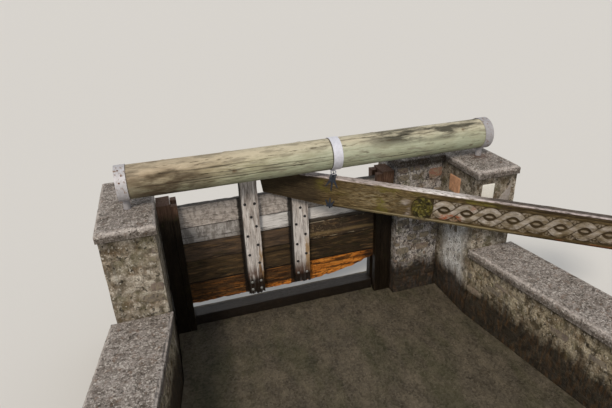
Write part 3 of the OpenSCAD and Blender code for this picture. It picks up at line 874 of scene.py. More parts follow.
def braid(sizes, along, across):
    """Height from 0, the sunk field, to 1, and how far a point lies on a band of the braid."""
    pitch, half = sizes.braid_pitch, sizes.braid_band / 2
    swing = FIELD_HALF - half - 0.001
    first = BRAID_EYE - pitch / 2
    turns = (along - first) / pitch
    if turns < 0 or along > FIELD_STOP - 0.05:
        return 0.0, 0.0
    phase = math.pi * (along - BRAID_EYE) / pitch
    slope = swing * math.pi / pitch * math.sin(phase)
    stretch = math.sqrt(1 + slope * slope)
    off = [abs(across - side * swing * math.cos(phase)) / stretch / half for side in (1, -1)]
    over, under = off if int(turns + 0.5) % 2 else off[::-1]

    def profile(d):
        edge = 1 - smooth_step(0.86, 1.0, d)
        return edge * (1 - 0.3 * d * d - 0.3 * math.exp(-((d - 0.62) / 0.08) ** 2))

    if over < 1:
        return profile(over), 1 - smooth_step(0.8, 0.98, over)
    if over < 1.2:
        return 0.08, 0.0
    if under < 1:
        return 0.86 * profile(under), 1 - smooth_step(0.8, 0.98, under)
    # A small almond lies in each eye, and a lobed leaf in each gap beside the crossings
    local = (turns % 1.0 - 0.5) * pitch
    almond = math.hypot(local / 0.036, across / 0.0135)
    if almond < 1:
        return 0.75 * math.sqrt(1 - almond ** 2), 0.55 * (1 - almond ** 3)
    beside = ((turns + 0.5) % 1.0 - 0.5) * pitch
    inwards = 0.098 - abs(across)
    leaf = math.hypot(beside, inwards) / 0.052
    if abs(across) < FIELD_HALF and leaf < 1:
        lobes = abs(math.cos(3.5 * math.atan2(beside, inwards)))
        return 0.62 * (0.35 + 0.65 * lobes) * (1 - leaf ** 4), 0.35 * lobes
    return 0.0, 0.0


def rosette(along, down):
    """Height of the swirled rosette, from 0 at its rim to 1, or None beside it."""
    x = (along - ROSETTE_ALONG) / ROSETTE_HALF_LENGTH
    y = (down - ROSETTE_DOWN) / ROSETTE_HALF_HEIGHT
    out = math.hypot(x, y)
    if out >= 1:
        return None
    # A small volute sits on the upper right of the rosette
    right, lower = x - 0.42, y + 0.5
    curl = math.hypot(right, lower)
    if curl < 0.3:
        spiral = math.cos(math.tau * (curl / 0.2) - math.atan2(lower, right))
        return 0.72 + 0.28 * spiral
    turn = math.atan2(y, x) + 2.1 * out
    petal = smooth_step(0.0, 0.55, abs(math.cos(4 * turn)))
    dome = math.sqrt(1 - out ** 2)
    hub = out / 0.2
    if hub < 1:
        return 0.7 + 0.3 * math.sqrt(1 - hub ** 2) * smooth_step(0.0, 0.3, 1 - hub)
    return dome * (0.15 + 0.8 * petal) * smooth_step(0.0, 0.08, 1 - out)


def window(value, low, high, soft):
    """1 between low and high and 0 beyond them, with soft ends."""
    return smooth_step(low - soft, low + soft, value) * (
        1 - smooth_step(high - soft, high + soft, value))


def lever_edges(along):
    """Upper and lower edge of the plank at a station along it."""
    top, low = LEVER_TOP, LEVER_TOP - LEVER_DEPTH
    if along < 0:
        low += (LEVER_DEPTH - LEVER_TIP_DEPTH) * along / (LEVER_TIP + LEVER_UNDERCUT)
    if along < NOSE_ALONG:
        top -= LEVER_TIP_DROP * (NOSE_ALONG - along) / (NOSE_ALONG - LEVER_TIP)
    corner = LEVER_DEPTH * 0.3
    past = along - (LEVER_END - corner)
    if past > 0:
        inset = corner - math.sqrt(max(0.0, corner ** 2 - past ** 2))
        top, low = top - inset, low + inset
    near = abs(along - NOSE_ALONG)
    if near < NOSE_RADIUS:
        top = max(top, NOSE_HEIGHT + math.sqrt(NOSE_RADIUS ** 2 - near ** 2))
    return top, low


def long_crack(along, down):
    """Depth from 0 to 1 of the cracks that run along the upper part of the plank's face."""
    found = 0.0
    for start, stop, depth, width in FACE_CRACKS:
        if start < along < stop:
            line = depth + 0.008 * noise.noise(Vector((along * 2.5, start * 7, 0)))
            fade = min(1.0, (along - start) / 0.2, (stop - along) / 0.2)
            off = abs(down - line)
            if off < width:
                found = max(found, fade * (1 - off / width))
    return found


def build_lever(sizes, material):
    """The carved lever plank: worn edges, rosette, braid in its sunk field and a lower moulding."""
    piece = block("lever_plank", (LEVER_TIP, -LEVER_HALF, LEVER_TOP - LEVER_DEPTH),
                  (LEVER_END, LEVER_HALF, LEVER_TOP), (0.0058, 0.0112, 0.0044))

    def field(along, down):
        """1 inside the sunk field with its round ends, 0 outside."""
        across = down - BRAID_CENTRE
        end = max(FIELD_START + FIELD_HALF - along, along - (FIELD_STOP - FIELD_HALF), 0.0)
        return 1 - smooth_step(FIELD_HALF - 0.003, FIELD_HALF + 0.003, math.hypot(end, across))

    def front(along, down):
        """Sunk depth in metres, band mask and painted groove shade of the front face."""
        sunk = sizes.carving_depth * field(along, down)
        band, groove = 0.0, 0.0
        if sunk > 0:
            lift, band = braid(sizes, along, down - BRAID_CENTRE)
            groove = 0.95 * (1 - smooth_step(0.0, 0.55, lift)) * sunk / sizes.carving_depth
            sunk -= sizes.carving_depth * lift * (sunk > 0.002)
        dome = rosette(along, down)
        if dome is not None:
            sunk, band = 0.009 - 0.015 * dome, 0.0
            groove = 0.9 * (1 - smooth_step(0.1, 0.6, dome))
        crack = long_crack(along, down)
        # Moulding: a fine quirk above the bevelled lower edge
        quirk = math.exp(-((down - QUIRK_DOWN) / 0.0028) ** 2) * (along > 0.15)
        return sunk + 0.008 * crack + 0.003 * quirk, band, max(groove, crack, 0.6 * quirk)

    def rule(place, normal):
        along, through, down = place.x, place.y, LEVER_TOP - place.z
        share = down / LEVER_DEPTH
        # The short end is cut at a slant, so its lower corner lies further in
        along += LEVER_UNDERCUT * share * max(0.0, 1 - (along - LEVER_TIP) / LEVER_UNDERCUT_RUN)
        top, low = lever_edges(along)
        height = top - share * (top - low)
        grain = noise.noise(Vector((along * 3.2, through * 60, height * 75)))
        broad = noise.noise(Vector((along * 2.0, through * 9, height * 9)))
        relief = 0.0012 * (0.6 + 0.6 * grain + 0.5 * broad)
        if abs(through + LEVER_HALF) < 1e-6:
            through += front(along, down)[0] + max(0.0, relief)
            # Bevel along the lower front edge of the long arm
            if along > 0:
                through += max(0.0, LOWER_BEVEL - (height - low))
        elif through > LEVER_HALF - 1e-6:
            through -= max(0.0, relief)
        # Worn round upper arrises, deeper where the weather has bitten
        reach = 0.011 + 0.007 * noise.noise(Vector((along * 5, 1.0, 0)))
        for side in (-1, 1):
            from_side = LEVER_HALF - side * through
            from_top = top - height
            if from_side < reach and from_top < reach and not near_nose(along):
                a, b = reach - from_side, reach - from_top
                long = math.hypot(a, b)
                if long > reach:
                    through = side * (LEVER_HALF - reach + a * reach / long)
                    height = top - reach + b * reach / long
        if share < 1e-6 and not near_nose(along):
            height -= max(0.0, 0.003 * (noise.noise(Vector((along * 7, through * 50, 5))) + 0.3))
        # A splinter is missing from the upper edge, left of the claws
        if -0.30 < along < -0.22 and share < 0.12:
            height -= 0.007 * (1 - share / 0.12)
        return Vector((along, through, height))

    def near_nose(along):
        return abs(along - NOSE_ALONG) < NOSE_RADIUS + 0.006

    def masks(place):
        along, through, down = place.x, place.y, LEVER_TOP - place.z
        is_front = abs(through + LEVER_HALF) < 1e-6
        band = front(along, down)[1] if is_front else 0.0
        spot = noise.fractal(Vector((along * 7, through * 12, down * 9)), 1.0, 2.0, 4)
        # Moss round the claws, before the rosette and along the upper edge of the carving
        moss = 0.75 * window(along, -0.12, 0.17, 0.08) * window(down, 0.0, 0.13, 0.05)
        moss += 0.7 * window(along, 0.42, 0.64, 0.06)
        moss += 0.7 * window(along, 0.7, 1.45, 0.2) * window(down, 0.012, 0.055, 0.01)
        moss *= smooth_step(-0.25, 0.3, spot)
        red, pale = 0.0, 0.0
        if is_front:
            if rosette(along, down) is not None:
                moss = 1.0
            # Rests of paint in the first loops and along the moulding's right half
            red = 0.95 * band * window(along, 1.0, 1.17, 0.03) * window(down, 0.185, 0.26, 0.012)
            red += 0.5 * band * window(along, 0.93, 1.3, 0.03) * smooth_step(0.25, 0.5, spot)
            red += 0.75 * window(down, 0.262, 0.3, 0.004) * smooth_step(1.5, 2.2, along) * (
                smooth_step(-0.2, 0.2, spot))
            # A few bleached specks before the rosette
            pale = 0.3 * window(along, 0.63, 0.72, 0.03) * window(down, 0.11, 0.25, 0.03)
            pale *= smooth_step(-0.3, 0.3, spot)
        if down < 0.016:
            arris = 1 - smooth_step(0.004, 0.016, down)
            worn = 1 - 0.85 * smooth_step(0.9, 1.5, along) * smooth_step(-0.038, -0.012, through)
            pale = max(pale, arris * worn * (1.0 if along > -0.25 else 0.45))
        return (band, moss, red, pale)

    # Painted shade of the front face's grooves: the carving's sunk ground, the rosette's hollows, the
    # cracks and the quirk
    def painted_groove_shade(place):
        if abs(place.y + LEVER_HALF) > 1e-6:
            return 0.0
        return front(place.x, LEVER_TOP - place.z)[2]

    paint(piece, "wear", "FLOAT_COLOR", masks)
    paint(piece, "groove", "FLOAT", painted_groove_shade)
    reshape(piece, rule)
    piece.data.transform(LEVER_MATRIX)
    settle(piece, "lever", material, ["lever_beam"])


# Masonry

def stone_models():
    """Rough stones of unit size, broken by the subdivide's fractal setting, and a squared one."""
    models = []
    for count in range(4):
        bpy.ops.object.select_all(action="DESELECT")
        bpy.ops.mesh.primitive_cube_add(size=1)
        piece = bpy.context.object
        mode("EDIT")
        edit_select(piece, "faces", lambda f: True)
        bpy.ops.mesh.subdivide(number_cuts=2, smoothness=0.25, fractal=0.9, seed=11 + count)
        edit_select(piece, "verts", lambda v: True)
        bpy.ops.transform.tosphere(value=0.16)
        mode("OBJECT")
        largest = max(max(abs(c) for c in v.co) for v in piece.data.vertices)
        piece.data.transform(Matrix.Scale(0.5 / largest, 4))
        models.append(piece)
    # The last one is dressed: a plain block with blunt arrises, for bricks and squared stones
    squared = block("squared_stone", (-0.5, -0.5, -0.5), (0.5, 0.5, 0.5), (0.34, 0.34, 0.34))
    mode("EDIT")
    edit_select(squared, "edges", lambda e: len(e.link_faces) == 2 and e.calc_face_angle() > 1)
    bpy.ops.mesh.bevel(offset=0.05, segments=2)
    mode("OBJECT")
    models.append(squared)
    for piece in models:
        piece.data.attributes.new("tone", "FLOAT", "POINT")
    return models


def lay_stone(model, middle, along, normal, size, tone, rng):
    """One stone in a wall face: its middle on the face, its size along, through and up."""
    turned = Matrix((along, -Vector(normal), Vector((0, 0, 1)))).transposed().to_4x4()
    tilt = Matrix.Rotation(rng.uniform(-0.06, 0.06), 4, "Y")
    flip = Matrix.Diagonal((rng.choice((-1, 1)), 1, rng.choice((-1, 1)), 1))
    matrix = (Matrix.Translation(middle) @ turned @ tilt
              @ Matrix.Diagonal((*size, 1)) @ flip)
    piece = placed_copy(model, matrix)
    if matrix.determinant() < 0:
        piece.data.flip_normals()
    count = len(piece.data.vertices)
    piece.data.attributes["tone"].data.foreach_set("value", [tone] * count)
    # The stone's face stays behind the wall's face
    face = Vector(normal).dot(Vector(middle))
    ahead = max(Vector(normal).dot(v.co) for v in piece.data.vertices) - face
    piece.data.transform(Matrix.Translation(-Vector(normal) * (ahead + rng.uniform(0.0, 0.006))))
    return piece


def upright_faces(low, high):
    """The front, back, left and right face of a wall that stands square, as rubble takes them."""
    wide, deep = high.x - low.x, high.y - low.y
    return [((low.x, low.y, 0), (1, 0, 0), (0, -1, 0), wide, high.z),
            ((high.x, high.y, 0), (-1, 0, 0), (0, 1, 0), wide, high.z),
            ((low.x, high.y, 0), (0, -1, 0), (-1, 0, 0), deep, high.z),
            ((high.x, low.y, 0), (0, 1, 0), (1, 0, 0), deep, high.z)]


def rubble(models, faces, sizes, share, rng, tones, scale, kept_free=()):
    """Random courses of stones over wall faces, each (corner, along, normal, length, height)."""
    stones = []
    for corner, along, normal, length, high in faces:
        corner, along = Vector(corner), Vector(along).normalized()
        level = 0.0
        while level < high - 0.03:
            course = rng.uniform(0.6, 1.4) * sizes.stone_height * scale
            if high - level - course < 0.06:
                course = high - level
            reach = 0.0
            while reach < length - 0.03:
                run = rng.uniform(0.4, 1.6) * sizes.stone_length * scale
                if length - reach - run < 0.07:
                    run = length - reach
                middle = corner + along * (reach + run / 2)
                middle.z = level + course / 2 + rng.uniform(-0.01, 0.01)
                taken = any((middle - spot).length < 0.13 + run / 2 for spot in kept_free)
                if rng.random() < share and not taken:
                    size = (run - sizes.joint, 0.07, course - sizes.joint)
                    stones.append(lay_stone(rng.choice(models[:4]), middle, along, normal, size,
                                            rng.uniform(*tones), rng))
                reach += run
            level += course
    return stones


def wall_core(name, low, high, inset, relief, seed, flared=0):
    """The mortar body of a wall, set back from its faces, rough and with rounded corners."""
    low, high = Vector(low), Vector(high)
    back = Vector((inset, inset, 0))
    piece = block(name, low + back, high - back, (0.035, 0.035, 0.035))

    def rule(place, normal):
        shift = Vector((seed, seed * 2, seed * 3))
        deep = 0.5 + 0.5 * noise.noise(place * 6 + shift) + 0.4 * noise.noise(place * 22 + shift)
        edges = sum(min(place[a] - low[a] - back[a], high[a] - back[a] - place[a]) < 1e-4
                    for a in range(2))
        if edges > 1:
            deep += 1.2 + noise.noise(place * 9 + shift)
        place -= Vector((normal.x, normal.y, 0)) * relief * max(0.0, deep)
        if flared:
            place.x += flared * FLARE * (FLARE_START - place.y)
        return place

    reshape(piece, rule)
    return piece


def cast_slab(name, low, high, bevel, chip, seed, flared=0):
    """A cast cap or coping with worn and chipped upper arrises, which it marks for its material."""
    low, high = Vector(low), Vector(high)
    piece = block(name, low, high, (0.022, 0.022, 0.016))
    shift = Vector((seed * 2.3, seed * 4.1, seed))

    def near_arris(place):
        gaps = sorted((place.x - low.x, high.x - place.x, place.y - low.y, high.y - place.y))
        return gaps[0], high.z - place.z

    def arris(place):
        side, top = near_arris(place)
        return max(0.0, 1 - math.hypot(side, top) / 0.034)

    def rule(place, normal):
        side, top = near_arris(place)
        reach = bevel + chip * max(0.0, noise.fractal(place * 16 + shift, 1.0, 2.0, 3) + 0.15)
        depth = 0.002 * (0.6 + noise.noise(place * 25 + shift) + 0.6 * noise.noise(place * 70))
        place -= normal * max(0.0, depth)
        if side < reach and top < reach:
            push = reach * (1 - math.hypot(reach - side, reach - top) / (reach * 1.4142))
            over = max(0.0, (2 * reach - side - top) / 2 - 0.3 * reach - push)
            inward = Vector(((low.x + high.x) / 2 - place.x, (low.y + high.y) / 2 - place.y, 0))
            if min(place.x - low.x, high.x - place.x) < min(place.y - low.y, high.y - place.y):
                inward.y = 0
            else:
                inward.x = 0
            place += inward.normalized() * over
            place.z -= over
        if flared:
            place.x += flared * FLARE * (FLARE_START - place.y)
        return place

    paint(piece, "arris", "FLOAT", arris)
    reshape(piece, rule)
    return piece


# Operators

class SluiceOperator:
    """Shared part of the operators: they can be undone."""

    bl_options = {"REGISTER", "UNDO"}


class SLUICE_OT_stage(SluiceOperator, bpy.types.Operator):
    """Camera at the photograph's angle, pale floor and soft light"""

    bl_idname = "sluice.stage"
    bl_label = "Stage"

    def execute(self, context):
        # Fitted to the photograph: lens in millimetres, place in metres, angles in degrees
        lens, eye = 28.71, (-0.979, -4.183, 3.396)
        pitch, roll, heading = (math.radians(a) for a in (25.411, -2.239, 16.302))
        ahead = Vector((math.sin(heading) * math.cos(pitch), math.cos(heading) * math.cos(pitch),
                        -math.sin(pitch)))
        level = Vector((math.cos(heading), -math.sin(heading), 0))
        upright = level.cross(ahead)
        right = math.cos(roll) * level + math.sin(roll) * upright
        up = math.cos(roll) * upright - math.sin(roll) * level
        camera = bpy.data.objects.new("camera", bpy.data.cameras.new("camera"))
        camera.data.lens = lens
        camera.data.sensor_width = 36.0
        turned = Matrix((right, up, -ahead)).transposed().to_4x4()
        camera.matrix_world = Matrix.Translation(eye) @ turned
        context.collection.objects.link(camera)
        context.scene.camera = camera

        bpy.ops.object.select_all(action="DESELECT")
        bpy.ops.mesh.primitive_circle_add(vertices=96, radius=200, fill_type="NGON",
                                          location=(0, 0, -0.002))
        floor = context.object
        floor.name = "studio_floor"
        material, tree, _ = open_material("matt_studio_floor")
        close_material(tree, linear("#DAD8D4"), 0.95)
        floor.data.materials.append(material)

        world = bpy.data.worlds.new("studio")
        world.use_nodes = True
        context.scene.world = world
        tree = world.node_tree
        tree.nodes.clear()
        path = add(tree, "ShaderNodeLightPath").outputs
        seen = add(tree, "ShaderNodeMath", {
            0: path["Is Camera Ray"], 1: path["Is Glossy Ray"]}, operation="MAXIMUM")
        soft = add(tree, "ShaderNodeBackground", {"Color": linear("#E9EDF2"), "Strength": 0.62})
        bright = add(tree, "ShaderNodeBackground", {"Color": linear("#ECECEC"), "Strength": 1.0})
        both = add(tree, "ShaderNodeMixShader", {0: seen, 1: soft, 2: bright})
        add(tree, "ShaderNodeOutputWorld", {"Surface": both})

        sun = bpy.data.objects.new("key_light", bpy.data.lights.new("key_light", "SUN"))
        sun.data.energy = 2.3
        sun.data.angle = math.radians(14)
        sun.data.color = linear("#FFF4E6")[:3]
        sun.rotation_euler = Vector((0.5, 0.77, -0.72)).to_track_quat("-Z", "Y").to_euler()
        context.collection.objects.link(sun)
        context.scene.view_settings.view_transform = "Standard"
        return {"FINISHED"}


class SLUICE_OT_log(SluiceOperator, bpy.types.Operator):
    """The log beam with its drying checks and knots"""

    bl_idname = "sluice.log"
    bl_label = "Log beam"

    def execute(self, context):
        build_log(context.scene.sluice_timber, log_material(context.scene.sluice_colours.log))
        return {"FINISHED"}


class SLUICE_OT_ironwork(SluiceOperator, bpy.types.Operator):
    """Iron bands, stubs, ring, eye bolt, claws and lift bar, and the bands' nails"""

    bl_idname = "sluice.ironwork"
    bl_label = "Ironwork"

    def execute(self, context):
        colours = context.scene.sluice_colours
        zinc = iron_material("hot_dipped_zinc", colours.galvanised, linear("#B9BAC4"), 0.37,
                             0.3, 0.5)
        stained = iron_material("rust_stained_zinc", linear("#C2C1C6"), linear("#96928F"), 0.44,
                                0.3, 0.6, ("#5B4537", "#94785F"))
        # Darker zinc: on the right band it is painted shade, on the stubs it is dull, rusty iron
        dull_and_shaded = iron_material("dulled_zinc", linear("#A9A7AC"), linear("#86837F"), 0.42,
                               0.3, 0.6, ("#5B4537", "#8A6D58"))
        black = iron_material("hammered_black_iron", colours.forged, linear("#4B525E"), 0.4,
                              0.6, 0.5, ("#2A1C15", "#5C3F2D"))
        nail_look = iron_material("rusted_nail_iron", linear("#4E3A2C"), linear("#76583F"), 0.5,
                                  0.2, 0.8)
        dress(zinc, "middle_band", "ring_link")
        dress(stained, "left_band")
        dress(dull_and_shaded, "right_band", "left_stub", "right_stub")
        dress(black, "eye_bolt", "upper_claw", "lower_claw", "lift_bar")
        # Clout nails hold each band to the log
        low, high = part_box("log_beam")
        axis_y, axis_z = (low.y + high.y) / 2, (low.z + high.z) / 2
        bpy.ops.object.select_all(action="DESELECT")
        bpy.ops.mesh.primitive_cylinder_add(vertices=14, radius=0.0065, depth=0.003)
        nail = context.object
        mode("EDIT")
        edit_select(nail, "faces", lambda f: f.normal.z > 0.9)
        bpy.ops.mesh.inset(thickness=0.0025)
        bpy.ops.transform.translate(value=(0, 0, 0.0016))
        mode("OBJECT")
        nails = []
        for name in ("left_band", "middle_band", "right_band"):
            low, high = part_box(name)
            middle = (low.x + high.x) / 2
            out = high.z - axis_z + 0.001
            # Degrees round the log from its back, over its top
            angles = (118, 138, 160, 20, 345) if name == "left_band" else (20, 345)
            for step, angle in enumerate(angles):
                turn = math.radians(angle)
                side = 0.012 if step % 2 else -0.010
                place = Vector((middle + side, axis_y + out * math.cos(turn),
                                axis_z + out * math.sin(turn)))
                spin = Matrix.Rotation(turn - math.pi / 2, 4, "X")
                nails.append(placed_copy(nail, Matrix.Translation(place) @ spin))
        drop(nail)
        settle(joined("band_nails", nails), "structure", nail_look)
        return {"FINISHED"}


class SLUICE_OT_lever(SluiceOperator, bpy.types.Operator):
    """The carved lever plank"""

    bl_idname = "sluice.lever"
    bl_label = "Carved lever"

    def execute(self, context):
        build_lever(context.scene.sluice_timber, lever_material(context.scene.sluice_colours))
        return {"FINISHED"}


class BoardStainsAndShadow:
    """Stains and painted shadow of one gate board, which lay draws over the board's colour."""

    def __init__(self, count, low, high):
        self.count, self.low, self.high = count, low, high
        self.flanks = [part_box(name)[0].x for name in ("left_stile", "right_stile")]
        self.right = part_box("right_stile")[1].x

    def lay(self, tree, coords, colour):
        """The board's own stains, its dark joints, and painted shadow left of each stile."""
        self.ragged = shaken(tree, coords, 0.05, 0.03, (0.35, 1, 1))
        self.grainy = shaken(tree, coords, 0.03, 0.05, (0.12, 1, 1))
        self.beyond = along_axis(tree, coords, 0, self.right - 0.01, self.right)
        own = {1: self.saw_marks, 2: self.wet_line, 3: self.washed_streak, 4: self.slime,
               5: self.rotten_fringe}[self.count]
        joint = add(tree, "ShaderNodeMath", {
            0: along_axis(tree, coords, 2, self.low.z + 0.006, self.low.z + 0.002),
            1: along_axis(tree, coords, 2, self.high.z - 0.006, self.high.z - 0.002)},
            operation="MAXIMUM")
        layers = [*own(tree, coords), (joint, "#15100B", 0.75)]
        # Painted shadow: a dark strip on the boards' front left of each stile
        front = along_axis(tree, coords, 1, self.low.y + 0.03, self.low.y + 0.02)
        for flank in self.flanks:
            strip = between(tree, self.ragged, 0, flank - 0.024, flank + 0.03, 0.006)
            layers.append((strip, "#120D09", front, 0.9))
        return laid_over(tree, colour, layers)

    def saw_marks(self, tree, coords):
        """Saw marks and bare pale flecks of the top board."""
        saw = patches(tree, coords, 0.035, 0.48, 0.56, 6.0, (1, 1, 0.5), 37.0)
        bare = patches(tree, coords, 0.02, 0.54, 0.62, 6.0, (0.4, 1, 1), 39.0)
        return [(saw, "#6C635C", 0.5),
                (bare, "#DCD5CF", 0.6)]

    def wet_line(self, tree, coords):
        """An old wet line right of the right stile, a brown foot and a bruised left end."""
        foot = along_axis(tree, self.ragged, 2, self.low.z + 0.03, self.low.z)
        left = along_axis(tree, coords, 0, self.flanks[0] + 0.05, self.flanks[0])
        bruises = patches(tree, coords, 0.04, 0.46, 0.56, 6.0, (1, 1, 0.4), 73.0)
        old_line = add(tree, "ShaderNodeMath", {
            0: along_axis(tree, self.ragged, 2, self.low.z + 0.05, self.low.z + 0.036),
            1: along_axis(tree, self.ragged, 0, 0.68, 0.8)}, operation="MAXIMUM")
        return [(foot, "#5B4A34", 0.5),
                (left, "#6B655F", 0.5),
                (left, "#5A534C", bruises, 0.6),
                (old_line, "#2E2416", self.beyond, 0.93)]

    def slime(self, tree, coords):
        """Tan streaks and green slime of a soaked board, which is darker beyond the right stile."""
        tan = patches(tree, coords, 0.025, 0.54, 0.62, 6.0, (0.12, 1, 1), 41.0)
        slime = patches(tree, coords, 0.06, 0.55, 0.68, 6.0, (0.4, 1, 1), 44.0)
        return [(self.beyond, "#1C140B", 0.5),
                (tan, "#7D6240", 0.45),
                (slime, "#2C2A14", 0.4)]

    def washed_streak(self, tree, coords):
        """Slime, and beyond the right stile a washed-out streak and pale broken joints."""
        streak = between(tree, self.grainy, 2, self.low.z + 0.04, self.low.z + 0.068, 0.012)
        fleck = patches(tree, coords, 0.012, 0.52, 0.6, 5.0, (0.5, 1, 1), 55.0)
        near = along_axis(tree, coords, 0, 0.75, 0.4)
        broken = patches(tree, coords, 0.04, 0.5, 0.58, 5.0, (0.5, 1, 1), 51.0)
        top = along_axis(tree, coords, 2, self.high.z - 0.012, self.high.z - 0.006)
        foot = along_axis(tree, coords, 2, self.low.z + 0.014, self.low.z + 0.008)
        return [*self.slime(tree, coords),
                (streak, "#7A6644", self.beyond, 0.7),
                (fleck, "#8F7B5C", self.beyond, near, 0.5),
                (top, "#A39680", self.beyond, broken),
                (foot, "#B7A88C", self.beyond, broken)]

    def rotten_fringe(self, tree, coords):
        """Rot with dark veins; left of the right stile only a fringe of it shows orange."""
        inner = add(tree, "ShaderNodeMath", {
            0: along_axis(tree, coords, 0, self.right - 0.05, self.right - 0.08),
            1: along_axis(tree, self.grainy, 2, self.low.z + 0.045, self.low.z + 0.065)},
            operation="MULTIPLY")
        outer = add(tree, "ShaderNodeMath", {
            0: along_axis(tree, coords, 0, self.flanks[0] + 0.05, self.flanks[0]),
            1: along_axis(tree, self.grainy, 2, self.low.z, self.low.z + 0.03)},
            operation="MULTIPLY")
        either = add(tree, "ShaderNodeMath", {0: inner, 1: outer}, operation="MAXIMUM")
        glow = patches(tree, coords, 0.02, 0.5, 0.62, 6.0, (0.1, 1, 1), 59.0)
        sound = add(tree, "ShaderNodeMath", {0: glow, 1: -0.3, 2: either}, operation="MULTIPLY_ADD")
        specks = patches(tree, coords, 0.014, 0.57, 0.61, 5.0, (0.5, 1, 1), 57.0)
        vein = between(tree, self.grainy, 2, 0.597, 0.617, 0.006)
        black = patches(tree, coords, 0.03, 0.53, 0.58, 7.0, (0.16, 1, 1), 47.0)
        return [(sound, "#45311C", 0.98),
                (specks, "#1C1006", 0.85),
                (vein, "#2A1709", along_axis(tree, coords, 0, 0.38, 0.5), 0.8),
                (black, "#241307", 0.8),
                (along_axis(tree, self.ragged, 0, 0.83, 0.92), "#24160B", 0.88),
                (along_axis(tree, coords, 2, self.high.z - 0.012, self.high.z - 0.006), "#0E0905")]


class SLUICE_OT_boards(SluiceOperator, bpy.types.Operator):
    """The five gate boards, the lowest one rotten"""

    bl_idname = "sluice.boards"
    bl_label = "Gate boards"

    def execute(self, context):
        sizes, colours = context.scene.sluice_timber, context.scene.sluice_colours
        # Material, roughness, and the light, mid, dark and crack colour of the grain
        looks = {
            1: ("weathered_grey_board", 0.84, "#CEC5BD", colours.grey_board, "#7C736B", "#231D18"),
            2: ("bleached_board", 0.84, "#ECE9E6", colours.pale_board, "#A7A09A", "#2B2622"),
            3: ("soaked_brown_board", 0.42, "#6C5744", "#4C3F33", "#281F17", "#0C0805"),
            4: ("soaked_dark_board", 0.42, "#4E3C26", colours.wet_board, "#1A130B", "#080503"),
            5: ("rotten_orange_board", 0.62, "#E89E48", colours.rotten_board, "#6B3D18", "#150B05"),
        }
        for count, (name, roughness, *tints) in looks.items():
            node = "gate_board_%d" % count
            low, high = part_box(node)
            piece = worn_timber(node + "_worn", low, high, 0, (0.02, 0.02, 0.008),
                                sizes.board_relief, sizes.ragged, count)
            if count == 5:
                self.rot(piece, low, high)
            material = old_timber(name, *tints, roughness=roughness, shift=count * 2.0,
                                  extra=BoardStainsAndShadow(count, low, high).lay)
            settle(piece, "gate", material, [node])
        return {"FINISHED"}

    @staticmethod
    def slot_of(node):
        """The record's material slot of a node."""
        return next(s["material_slot"] for s in frame["record"]["subparts"] if s["node"] == node)

    @staticmethod
    def rot(piece, low, high):
        """Wears the lower edge away, in an arc that rises to the right, and eats into the faces."""
        start, radius = 0.2, 2.05

        def rule(place, normal):
            share = (high.z - place.z) / (high.z - low.z)
            arc = radius - math.sqrt(radius ** 2 - max(0.0, place.x - start) ** 2)
            bite = 0.014 * max(0.0, noise.fractal(Vector((place.x * 13, 0, 1)), 1.0, 2.0, 4) + 0.25)
            place.z += (arc + bite) * share
            eaten = smooth_step(0.35, 1.0, share) * max(
                0.0, noise.noise(Vector((place.x * 22, 0, place.z * 55))) + 0.35)
            place.y -= 0.011 * eaten * (1 if place.y > 0.03 else -1)
            return place

        reshape(piece, rule)


